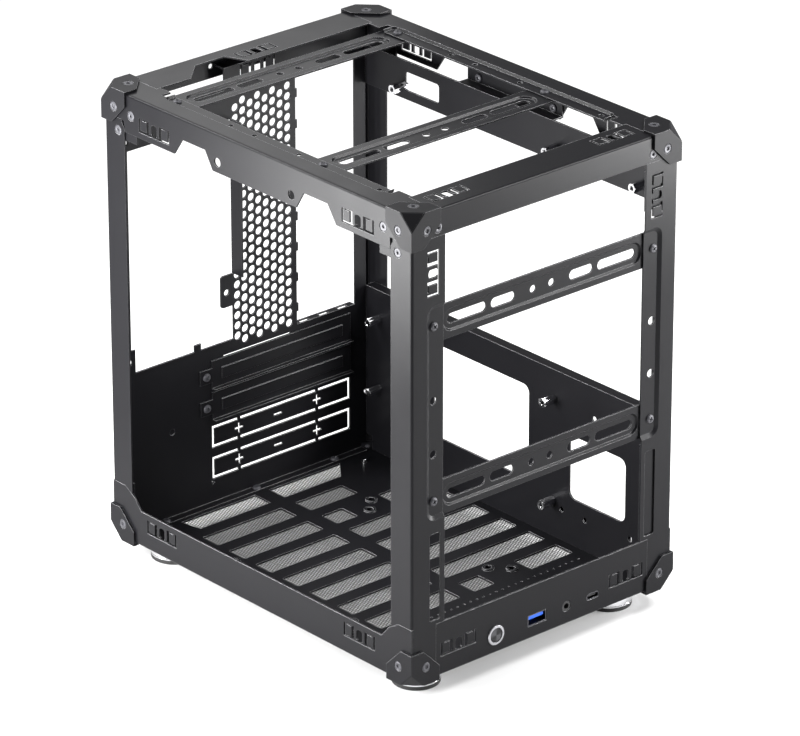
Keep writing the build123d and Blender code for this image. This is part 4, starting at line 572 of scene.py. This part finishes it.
def lattice_tree():
    """Tree that lays a cell on a staggered lattice and welds the cells into one pierced sheet."""
    inputs = [("Cell", "NodeSocketObject"), ("Pitch", "NodeSocketFloat"), ("Columns", "NodeSocketInt"),
              ("Rows", "NodeSocketInt"), ("Corner", "NodeSocketVector"), ("Finish", "NodeSocketMaterial")]
    growth = Growth("pierced_sheet", inputs)
    pitch = growth.input("Pitch")
    step = growth.math("MULTIPLY", pitch, math.sqrt(3) / 2)
    rows = growth.input("Rows")
    count = growth.math("MULTIPLY", growth.input("Columns"), rows)
    points = growth.node("GeometryNodePoints", None, {"Count": count})
    index = growth.node("GeometryNodeInputIndex")
    column = growth.math("FLOOR", growth.math("DIVIDE", index, rows))
    row = growth.math("SUBTRACT", index, growth.math("MULTIPLY", column, rows))
    stagger = growth.math("MULTIPLY", growth.math("MODULO", column, 2.0), 0.5)
    along = growth.math("MULTIPLY", column, step)
    across = growth.math("MULTIPLY", growth.math("ADD", row, stagger), pitch)
    spot = growth.node("ShaderNodeCombineXYZ", None, {0: along, 1: across})
    spot = growth.node("ShaderNodeVectorMath", {"operation": "ADD"}, {0: spot, 1: growth.input("Corner")})
    points = growth.node("GeometryNodeSetPosition", None, {"Geometry": points, "Position": spot})
    cell = growth.node("GeometryNodeObjectInfo", {"transform_space": "ORIGINAL"},
                       {"Object": growth.input("Cell")}, out="Geometry")
    cells = growth.node("GeometryNodeInstanceOnPoints", None, {"Points": points, "Instance": cell})
    solid = growth.node("GeometryNodeRealizeInstances", None, {0: cells})
    sheet = growth.node("GeometryNodeMergeByDistance", None, {"Geometry": solid, "Distance": CELL_WELD})
    return growth.close(sheet)


def seat_mesh(places):
    """Loose points that carry the direction of each seat."""
    mesh = bpy.data.meshes.new("seats")
    mesh.from_pydata([tuple(place[0]) for place in places], [], [])
    attribute = mesh.attributes.new("facing", "FLOAT_VECTOR", "POINT")
    for i, (head, facing) in enumerate(places):
        attribute.data[i].vector = facing
    return mesh


def template(mesh):
    """Object that only carries a mesh for a tree."""
    holder = bpy.data.objects.new("template", mesh)
    bpy.context.scene.collection.objects.link(holder)
    return holder


def set_parts(name, part_mesh, places, slot, stands_for, seed=1):
    """One piece made of a part on each seat."""
    holder = template(part_mesh)
    values = {"Part": holder, "Seed": seed, "Finish": finish_of(slot)}
    mesh = grown(bpy.data.node_groups["parts_on_seats"], seat_mesh(places), values)
    bpy.data.objects.remove(holder)
    mesh.name = name
    return piece(name, mesh, slot, stands_for=stands_for)


# Screws, rivets and stand-offs

def socket_screw(head_radius, head, length, socket):
    """Flush screw with a hexagon socket and a rounded rim, its face on Z = 0."""
    rim = CAP_RIM
    rings = [
        (-head * 0.9, hexagon(socket * 0.5)), (-head * 0.72, hexagon(socket)), (-0.1 * MM, hexagon(socket)),
        (0.0, circle(socket * 0.66)), (0.0, circle(head_radius - 3 * rim)),
        (-0.12 * MM, circle(head_radius - 2 * rim)), (0.0, circle(head_radius - rim)),
        (-rim * 0.3, circle(head_radius - rim * 0.3)), (-rim, circle(head_radius)),
        (-head, circle(head_radius)), (-head, circle(SHANK_RADIUS)),
        (0.3 * MM - length, circle(SHANK_RADIUS)), (-length, circle(SHANK_RADIUS * 0.8)),
    ]
    return turned("socket_screw", rings, sides=30)


def pan_screw(head_radius, head, length):
    """Domed screw with a cross recess, its head's top on Z = 0."""
    arm = head_radius * 1.15
    rings = [
        (-head * 0.85, cross(arm * 0.45, 0.35 * MM)), (-head * 0.75, cross(arm * 0.7, 0.5 * MM)),
        (-0.02 * MM, cross(arm, 0.75 * MM)), (0.0, circle(arm * 0.56)),
        (-head * 0.10, circle(head_radius * 0.74)), (-head * 0.30, circle(head_radius * 0.92)),
        (-head * 0.55, circle(head_radius)), (-head, circle(head_radius)), (-head, circle(SHANK_RADIUS)),
        (0.4 * MM - length, circle(SHANK_RADIUS)), (-length, circle(SHANK_RADIUS * 0.75)),
    ]
    return turned("pan_screw", rings, sides=32)


def eye_rivet(radius, length):
    """Flush rivet whose rolled head has an eye, its face on Z = 0."""
    rings = [
        (-0.8 * MM, circle(0.7 * MM)), (-0.15 * MM, circle(0.85 * MM)), (0.0, circle(1.1 * MM)),
        (0.0, circle(radius - 0.35 * MM)), (-0.1 * MM, circle(radius - 0.08 * MM)),
        (-0.2 * MM, circle(radius)), (-0.4 * MM, circle(radius)),
        (-0.4 * MM, circle(RIVET_SHANK_RADIUS)), (-length, circle(RIVET_SHANK_RADIUS)),
    ]
    return turned("eye_rivet", rings, sides=24)


def standoff(flats, height, length):
    """Hexagon stand-off with chamfered ends, a bored top on Z = 0 and a stud below."""
    bore = STANDOFF_BORE_RADIUS
    chamfer = STANDOFF_CHAMFER
    rings = [
        (-5.0 * MM, circle(bore * 0.9)), (-0.4 * MM, circle(bore)), (0.0, circle(bore + 0.35 * MM)),
        (0.0, circle(flats / 2 - 0.05 * MM)), (-chamfer, hexagon(flats)), (chamfer - height, hexagon(flats)),
        (-height, circle(flats / 2 - 0.05 * MM)), (-height, circle(SHANK_RADIUS)),
        (0.3 * MM - length, circle(SHANK_RADIUS)), (-length, circle(1.1 * MM)),
    ]
    return turned("standoff", rings, sides=36)


def reach_of(node):
    """Length of a node's fasteners along their own axis."""
    facing = seats(node)[0][1]
    low, high = islands(node)[0]
    return sum(abs(facing[i]) * (high[i] - low[i]) for i in range(3))


# Mesh filter

def filter_cell(pitch, hole, thickness):
    """One hexagon of the pierced sheet with its round hole: top, bottom and wall of the hole."""
    outer = pitch / math.sqrt(3)
    vertices = []
    for height in (0.0, -thickness):
        for radius in (outer, hole):
            for k in range(6):
                angle = math.pi / 3 * k
                vertices.append((radius * math.cos(angle), radius * math.sin(angle), height))
    faces = []
    for k in range(6):
        after = (k + 1) % 6
        faces.append((k, after, 6 + after, 6 + k))
        faces.append((12 + after, 12 + k, 18 + k, 18 + after))
        faces.append((6 + k, 6 + after, 18 + after, 18 + k))
    mesh = bpy.data.meshes.new("filter_cell")
    mesh.from_pydata(vertices, [], faces)
    return mesh


def window_areas():
    """Left, right, low and high limits of every floor window."""
    low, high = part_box("base_tray")
    left = low.x + WINDOW_LEFT_INSET
    right = high.x - WINDOW_RIGHT_INSET
    areas = []
    for row in range(WINDOW_ROWS):
        middle = high.y - WINDOW_FIRST_INSET - row * WINDOW_PITCH
        spans = [(left, -WINDOW_RIB), (WINDOW_RIB, right)]
        if row == 0:
            spans = [(left + FIRST_ROW_INSET, -WINDOW_RIB), (WINDOW_RIB, right - FIRST_ROW_SHORT)]
        if row == 1:
            spans = [(left, -WINDOW_RIB), (WINDOW_RIB, right - SECOND_ROW_SHORT)]
        if row in FAN_GAP_ROWS:
            spans = [(left, -WINDOW_RIB), (WINDOW_RIB, FAN_GAP[0]), (FAN_GAP[1], right)]
        areas += [(x0, x1, middle - WINDOW_HEIGHT / 2, middle + WINDOW_HEIGHT / 2) for x0, x1 in spans]
    return areas


def closed_rim(mesh, top, bottom):
    """Join the open top and bottom rims of a pierced sheet."""
    form = bmesh.new()
    form.from_mesh(mesh)
    key = {}
    for vertex in form.verts:
        level = "top" if abs(vertex.co.z - top) < abs(vertex.co.z - bottom) else "bottom"
        key[(round(vertex.co.x, 6), round(vertex.co.y, 6), level)] = vertex
    rims = [edge for edge in form.edges if edge.is_boundary]
    for edge in rims:
        first, second = edge.verts
        if abs(first.co.z - top) > abs(first.co.z - bottom):
            continue
        below = [key.get((round(v.co.x, 6), round(v.co.y, 6), "bottom")) for v in (second, first)]
        if None not in below:
            form.faces.new([first, second] + below)
    bmesh.ops.recalc_face_normals(form, faces=form.faces)
    form.to_mesh(mesh)
    form.free()
    return mesh


def pierced_plate(name, limits, openings, top, bottom):
    """Closed flat plate between limits with rectangular openings."""
    x_cuts = sorted({limits[0], limits[1]} | {v for o in openings for v in o[:2]})
    y_cuts = sorted({limits[2], limits[3]} | {v for o in openings for v in o[2:]})

    def solid(i, j):
        if not (0 <= i < len(x_cuts) - 1 and 0 <= j < len(y_cuts) - 1):
            return False
        x = (x_cuts[i] + x_cuts[i + 1]) / 2
        y = (y_cuts[j] + y_cuts[j + 1]) / 2
        return not any(o[0] < x < o[1] and o[2] < y < o[3] for o in openings)

    vertices = []
    faces = []

    def face(*corners):
        faces.append(tuple(range(len(vertices), len(vertices) + 4)))
        vertices.extend(corners)

    for i in range(len(x_cuts) - 1):
        for j in range(len(y_cuts) - 1):
            if not solid(i, j):
                continue
            x0, x1, y0, y1 = x_cuts[i], x_cuts[i + 1], y_cuts[j], y_cuts[j + 1]
            face((x0, y0, top), (x1, y0, top), (x1, y1, top), (x0, y1, top))
            face((x0, y1, bottom), (x1, y1, bottom), (x1, y0, bottom), (x0, y0, bottom))
            sides = (((x0, y1), (x0, y0), solid(i - 1, j)), ((x1, y0), (x1, y1), solid(i + 1, j)),
                     ((x0, y0), (x1, y0), solid(i, j - 1)), ((x1, y1), (x0, y1), solid(i, j + 1)))
            for (ax, ay), (bx, by), taken in sides:
                if not taken:
                    face((ax, ay, bottom), (bx, by, bottom), (bx, by, top), (ax, ay, top))
    return mesh_of(name, vertices, faces)


def joined(name, meshes):
    """One mesh out of several."""
    form = bmesh.new()
    for mesh in meshes:
        form.from_mesh(mesh)
    whole = bpy.data.meshes.new(name)
    form.to_mesh(whole)
    form.free()
    return whole


# Stage

def floor_finish(near, far, reach):
    """Pale floor that keeps the real shadow and adds painted shade near the case: its white glow, for camera
    and reflections, is weaker under and next to the case and full away from it.
    """
    tree = Tree(bpy.data.materials.new("stage_floor"))
    rays = tree.node("ShaderNodeLightPath")
    seen = rays.socket.node.outputs
    shows = Term(tree, seen["Is Camera Ray"]) + Term(tree, seen["Is Glossy Ray"])
    shows = shows + Term(tree, seen["Is Transmission Ray"])
    low, high = CAD_BOX
    half = Vector(((high[0] - low[0]) / 2, (high[1] - low[1]) / 2, 1.0))
    middle = ((high[0] + low[0]) / 2, (high[1] + low[1]) / 2, 0.0)
    across = tree.vector("ABSOLUTE", {0: tree.place((1, 1, 1), middle)})
    past = tree.vector("SUBTRACT", {0: across, 1: half})
    past = tree.vector("MAXIMUM", {0: past})
    away = tree.vector("LENGTH", {0: past}, "Value")
    # Glow from near to far over the reach from the case's outline: the weaker near glow is painted shade on
    # the floor round the case.
    share = tree.fade(away, 0.0, reach, near, far)
    diffuse = tree.node("ShaderNodeBsdfDiffuse", None, {"Color": FLOOR_COLOUR})
    glow = tree.node("ShaderNodeEmission", None, {"Color": WHITE, "Strength": shows * share})
    both = tree.node("ShaderNodeAddShader", None, {0: diffuse, 1: glow})
    output = tree.nodes.new("ShaderNodeOutputMaterial")
    tree.links.new(both.socket, output.inputs["Surface"])
    return tree.owner


def white_world(level):
    """Soft grey surround that shows white to the camera."""
    world = bpy.data.worlds.new("studio")
    bpy.context.scene.world = world
    tree = Tree(world)
    rays = tree.node("ShaderNodeLightPath")
    seen = Term(tree, rays.socket.node.outputs["Is Camera Ray"])
    shade = tree.blend(seen, colour([level] * 3), WHITE)
    background = tree.node("ShaderNodeBackground", None, {"Color": shade})
    output = tree.nodes.new("ShaderNodeOutputWorld")
    tree.links.new(background.socket, output.inputs["Surface"])


def softbox(name, place, aim, width, height, power):
    """Rectangular soft light at a place, turned to an aim."""
    light = bpy.data.lights.new(name, "AREA")
    light.shape = "RECTANGLE"
    light.size = width
    light.size_y = height
    light.energy = power
    lamp = bpy.data.objects.new(name, light)
    bpy.context.scene.collection.objects.link(lamp)
    lamp.location = place
    lamp.rotation_euler = (Vector(aim) - Vector(place)).to_track_quat("-Z", "Y").to_euler()
    lamp.visible_camera = False


def photo_camera():
    """Camera at the photograph's place."""
    azimuth = math.radians(AZIMUTH)
    elevation = math.radians(ELEVATION)
    back = Vector((math.sin(azimuth) * math.cos(elevation), -math.cos(azimuth) * math.cos(elevation),
                   math.sin(elevation)))
    right = Vector((math.cos(azimuth), math.sin(azimuth), 0))
    up = back.cross(right)
    roll = math.radians(ROLL)
    right, up = right * math.cos(roll) + up * math.sin(roll), up * math.cos(roll) - right * math.sin(roll)
    data = bpy.data.cameras.new("photo_camera")
    data.sensor_width = SENSOR_WIDTH
    data.lens = FOCAL_PIXELS / IMAGE_WIDTH * SENSOR_WIDTH
    data.clip_end = VIEW_REACH
    camera = bpy.data.objects.new("photo_camera", data)
    bpy.context.scene.collection.objects.link(camera)
    aim = Vector((0, 0, AIM_HEIGHT)) + right * SHIFT_RIGHT + up * SHIFT_UP
    place = Matrix((right, up, back)).transposed().to_4x4()
    place.translation = aim + back * DISTANCE
    camera.matrix_world = place
    bpy.context.scene.camera = camera


# Sizes and looks that a user may change

class CaseLooks(bpy.types.PropertyGroup):
    """Colours and grain of the coats."""
    coat_colour: FloatVectorProperty(name="Coat colour", description="Colour of the black powder coat",
                                     subtype="COLOR", default=(0.0075, 0.0074, 0.0088), min=0, max=1)
    # The edge colour and its share stand for the thinner coat on edges and for a painted highlight on edges
    # that face up.
    edge_coat_and_highlight_colour: FloatVectorProperty(name="Edge colour", description="Colour of the thin coat on the edges",
                                     subtype="COLOR", default=(0.70, 0.70, 0.72), min=0, max=1)
    edge_wear_and_highlight: FloatProperty(name="Edge wear", description="Share of the edge colour on the sharpest edges",
                             subtype="FACTOR", default=0.7, min=0, max=1)
    edge_round: FloatProperty(name="Edge rounding", description="Rounding that the coat gives to an edge",
                              subtype="DISTANCE", unit="LENGTH", default=0.4 * MM)
    coat_specular: FloatProperty(name="Coat specular", description="Strength of the coat's reflection",
                                 subtype="FACTOR", default=0.12, min=0, max=1)
    cloud_size: FloatProperty(name="Cloud size", description="Size of the faint clouds in the gloss",
                              subtype="DISTANCE", unit="LENGTH", default=28 * MM)
    sheet_grain: FloatProperty(name="Sheet grain", description="Size of the peel on folded sheet",
                               subtype="DISTANCE", unit="LENGTH", default=0.7 * MM)
    sheet_roughness: FloatProperty(name="Sheet roughness", description="Roughness of the coat on sheet",
                                   subtype="FACTOR", default=0.33, min=0, max=1)
    cap_roughness: FloatProperty(name="Cap roughness", description="Roughness of the corner caps",
                                 subtype="FACTOR", default=0.46, min=0, max=1)
    screw_roughness: FloatProperty(name="Screw roughness", description="Roughness of the black screws",
                                   subtype="FACTOR", default=0.46, min=0, max=1)
    port_blue: FloatVectorProperty(name="Port blue", description="Colour of the wide port's tongue",
                                   subtype="COLOR", default=(0.02, 0.13, 0.75), min=0, max=1)


class FilterSizes(bpy.types.PropertyGroup):
    """Sizes of the mesh filter under the floor."""
    pitch: FloatProperty(name="Pitch", description="Distance between neighbouring holes",
                         subtype="DISTANCE", unit="LENGTH", default=2.0 * MM)
    hole: FloatProperty(name="Hole radius", description="Radius of the holes",
                        subtype="DISTANCE", unit="LENGTH", default=0.8 * MM)
    thickness: FloatProperty(name="Thickness", description="Thickness of the pierced sheet",
                             subtype="DISTANCE", unit="LENGTH", default=0.15 * MM)
    margin: FloatProperty(name="Margin", description="Reach of the mesh past each window",
                          subtype="DISTANCE", unit="LENGTH", default=1.6 * MM)


class StageLooks(bpy.types.PropertyGroup):
    """Strengths of the studio."""
    world_level: FloatProperty(name="Surround", description="Brightness of the surround", default=0.26)
    # The near glow, lower than the far glow, paints shade on the floor under and next to the case.
    near_glow: FloatProperty(name="Near glow", description="White that the floor adds under the case",
                             default=0.2)
    far_glow: FloatProperty(name="Far glow", description="White that the floor adds away from the case",
                            default=0.6)
    glow_reach: FloatProperty(name="Glow reach", description="Distance where the floor adds its far glow",
                              subtype="DISTANCE", unit="LENGTH", default=45 * MM)
    left_power: FloatProperty(name="Left light", description="Power of the left light",
                              unit="POWER", default=6.8)
    right_power: FloatProperty(name="Right light", description="Power of the right light",
                               unit="POWER", default=6.0)
    top_power: FloatProperty(name="Top light", description="Power of the top light",
                             unit="POWER", default=13.0)
    back_power: FloatProperty(name="Back light", description="Power of the back light",
                              unit="POWER", default=0.8)
    edge_power: FloatProperty(name="Edge lights", description="Power of each light for the folded edges",
                              unit="POWER", default=5.0)


# Operators

class CASE_OT_finishes(bpy.types.Operator):
    """Give every piece of the frame its finish"""
    bl_idname = "case.finishes"
    bl_label = "Finishes"

    def execute(self, context):
        """Make the finishes and put them on the nodes by their slots."""
        finishes = make_finishes()
        for part in frame["record"]["subparts"]:
            node = frame["nodes"][part["node"]]
            node.data.materials.clear()
            node.data.materials.append(finishes[part["material_slot"]])
        return {"FINISHED"}


class CASE_OT_fasteners(bpy.types.Operator):
    """Set screws, rivets and stand-offs on their seats"""
    bl_idname = "case.fasteners"
    bl_label = "Fasteners"

    def execute(self, context):
        """Grow each kind of fastener with one tree."""
        seat_tree()
        cap = socket_screw(CAP_HEAD_RADIUS, CAP_HEAD_HEIGHT, reach_of("cap_screws"), CAP_SOCKET_FLATS)
        set_parts("corner_screws", cap, seats("cap_screws"), "black_screw", ["cap_screws"], seed=3)
        rivet = eye_rivet(RIVET_RADIUS, reach_of("bracket_rivets"))
        set_parts("rivets", rivet, seats("bracket_rivets"), "black_screw", ["bracket_rivets"], seed=5)
        for node, outward in (("bar_screws", True), ("slot_cover_screws", False), ("band_screws", False),
                              ("floor_screws", False)):
            screw = pan_screw(PAN_HEAD_RADIUS, PAN_HEAD_HEIGHT, reach_of(node))
            set_parts("black_" + node, screw, seats(node, outward), "black_screw", [node], seed=7)
        for node, outward in (("foot_screws", True), ("port_board_screws", False)):
            screw = pan_screw(PAN_HEAD_RADIUS, PAN_HEAD_HEIGHT, reach_of(node))
            set_parts("bright_" + node, screw, seats(node, outward), "bright_metal", [node], seed=9)
        low, high = islands("standoffs")[0]
        post = standoff(STANDOFF_FLATS, STANDOFF_HEIGHT, high.x - low.x)
        places = seats("standoffs", outward=False)
        set_parts("stand_offs", post, places, "bright_metal", ["standoffs"], seed=11)
        return {"FINISHED"}


class CASE_OT_filter(bpy.types.Operator):
    """Lay the pierced dust filter under the floor windows"""
    bl_idname = "case.filter"
    bl_label = "Dust filter"

    def execute(self, context):
        """Grow the mesh of each window and frame it with a thin plate."""
        sizes = context.scene.filter_sizes
        tree = lattice_tree()
        low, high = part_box("dust_filter")
        top = (low.z + high.z) / 2 + sizes.thickness / 2
        cell = template(filter_cell(sizes.pitch, sizes.hole, sizes.thickness))
        step = sizes.pitch * math.sqrt(3) / 2
        sheets = {"left": [], "right": []}
        openings = []
        for x0, x1, y0, y1 in window_areas():
            columns = int((x1 - x0 + 2 * sizes.margin) / step)
            rows = int((y1 - y0 + 2 * sizes.margin) / sizes.pitch)
            start_x = (x0 + x1 - (columns - 1) * step) / 2
            start_y = (y0 + y1 - (rows - 0.5) * sizes.pitch) / 2
            corner = Vector((start_x, start_y, top))
            values = {"Cell": cell, "Pitch": sizes.pitch, "Columns": columns, "Rows": rows,
                      "Corner": corner, "Finish": finish_of("filter_sheet")}
            sheet = grown(tree, bpy.data.meshes.new("start"), values)
            sheets["left" if x1 < 0 else "right"].append(closed_rim(sheet, top, top - sizes.thickness))
            edge = sizes.margin / 4
            openings.append((x0 - edge, x1 + edge, y0 - edge, y1 + edge))
        bpy.data.objects.remove(cell)
        for side, parts in sheets.items():
            piece("filter_mesh_" + side, joined("filter_mesh_" + side, parts), "filter_sheet")
        foot_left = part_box("foot_ring_rear_left")
        foot_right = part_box("foot_ring_rear_right")
        notches = [(low.x, foot_left[1].x, foot_left[0].y, high.y),
                   (foot_right[0].x, high.x, foot_right[0].y, high.y)]
        limits = (low.x, high.x, low.y, high.y)
        plate = pierced_plate("filter_frame", limits, openings + notches, high.z, low.z)
        piece("filter_frame", plate, "filter_sheet", stands_for=["dust_filter"])
        return {"FINISHED"}


class CASE_OT_feet(bpy.types.Operator):
    """Turn the four feet with their rubber pads"""
    bl_idname = "case.feet"
    bl_label = "Feet"

    def execute(self, context):
        """Make a bright ring and a rubber disc at each foot."""
        for end in ("front_left", "front_right", "rear_left", "rear_right"):
            foot_ring("foot_ring_" + end)
            foot_pad("foot_pad_" + end)
        return {"FINISHED"}


def at_axis(mesh, node):
    """Move a mesh that is turned about Z onto a node's upright axis."""
    middle = middle_of(node)
    mesh.transform(Matrix.Translation((middle.x, middle.y, 0)))
    return mesh


def foot_ring(node):
    """Bright turned ring with a rolled lower lip, open below."""
    low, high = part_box(node)
    radius = (high.x - low.x) / 2
    wall = radius - FOOT_WALL
    inner = radius - FOOT_CAVITY_INSET
    lip = low.z + FOOT_LIP
    seat = low.z + FOOT_SEAT_HEIGHT
    roof = high.z - FOOT_ROOF
    rings = [
        (high.z, circle(FOOT_BORE_RADIUS)), (high.z, circle(radius - 0.5 * MM)),
        (high.z - 0.2 * MM, circle(radius - 0.12 * MM)), (high.z - 0.5 * MM, circle(radius)),
        (low.z + 2.4 * MM, circle(radius)), (low.z + 2.2 * MM, circle(radius - 0.15 * MM)),
        (low.z + 2.0 * MM, circle(radius)), (low.z + 1.3 * MM, circle(radius - 0.08 * MM)),
        (low.z + 1.0 * MM, circle(radius - 0.25 * MM)), (lip, circle(radius - 0.5 * MM)), (lip, circle(wall)),
        (seat, circle(wall)), (seat, circle(inner)), (roof, circle(inner)), (roof, circle(FOOT_BORE_RADIUS)),
    ]
    mesh = turned(node + "_turned", rings, sides=ROUND_SIDES)
    return piece(node + "_turned", at_axis(mesh, node), "bright_metal", stands_for=[node])


def foot_pad(node):
    """Rubber disc with two grooves in its tread."""
    low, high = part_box(node)
    radius = (high.x - low.x) / 2
    shown = radius + PAD_OVERHANG
    rings = [(high.z, circle(radius * 0.5)), (high.z, circle(radius)), (low.z + 2.3 * MM, circle(radius)),
             (low.z + 2.3 * MM, circle(shown)), (low.z + 0.6 * MM, circle(shown)),
             (low.z + 0.2 * MM, circle(shown - 0.15 * MM)), (low.z, circle(shown - 0.6 * MM))]
    for share in PAD_GROOVES:
        groove = radius * share
        rings += [(low.z, circle(groove + 0.5 * MM)), (low.z + 0.5 * MM, circle(groove + 0.25 * MM)),
                  (low.z + 0.5 * MM, circle(groove - 0.25 * MM)), (low.z, circle(groove - 0.5 * MM))]
    mesh = turned(node + "_tread", rings, sides=ROUND_SIDES)
    return piece(node + "_tread", at_axis(mesh, node), "foot_rubber", stands_for=[node])


class CASE_OT_stage(bpy.types.Operator):
    """Set the floor, the soft lights and the camera"""
    bl_idname = "case.stage"
    bl_label = "Stage"

    def execute(self, context):
        """Build the studio round the case."""
        looks = context.scene.stage_looks
        white_world(looks.world_level)
        size = FLOOR_HALF_SIZE
        corners = [(-size, -size, 0), (size, -size, 0), (size, size, 0), (-size, size, 0)]
        floor = bpy.data.meshes.new("stage_floor")
        floor.from_pydata(corners, [], [(0, 1, 2, 3)])
        floor.materials.append(floor_finish(looks.near_glow, looks.far_glow, looks.glow_reach))
        ground = bpy.data.objects.new("stage_floor", floor)
        context.scene.collection.objects.link(ground)
        for name, place, aim, width, height, power in LAMPS:
            softbox(name, place, aim, width, height, getattr(looks, power))
        photo_camera()
        context.scene.view_settings.view_transform = "Standard"
        return {"FINISHED"}


class CASE_PT_panel(bpy.types.Panel):
    """Looks of the computer case"""
    bl_idname = "CASE_PT_panel"
    bl_label = "Computer case"
    bl_space_type = "VIEW_3D"
    bl_region_type = "UI"
    bl_category = "Case"

    def draw(self, context):
        """List the sizes, the colours and the steps."""
        for group in (context.scene.case_looks, context.scene.filter_sizes, context.scene.stage_looks):
            box = self.layout.box()
            for name in group.__annotations__:
                box.prop(group, name)
        for step in STEPS:
            self.layout.operator(step.bl_idname)


GROUPS = {"case_looks": CaseLooks, "filter_sizes": FilterSizes, "stage_looks": StageLooks}
STEPS = (CASE_OT_finishes, CASE_OT_fasteners, CASE_OT_filter, CASE_OT_feet, CASE_OT_stage)


def register():
    """Register the groups, the steps and the panel."""
    for cls in (*GROUPS.values(), *STEPS, CASE_PT_panel):
        bpy.utils.register_class(cls)
    for name, group in GROUPS.items():
        setattr(bpy.types.Scene, name, PointerProperty(type=group))


def unregister():
    """Take them out again."""
    for name in GROUPS:
        delattr(bpy.types.Scene, name)
    for cls in (CASE_PT_panel, *reversed(STEPS), *reversed(list(GROUPS.values()))):
        bpy.utils.unregister_class(cls)


def main():
    """Dress the case."""
    register()
    bpy.ops.case.finishes()
    bpy.ops.case.fasteners()
    bpy.ops.case.filter()
    bpy.ops.case.feet()
    bpy.ops.case.stage()


if __name__ == "__main__":
    main()
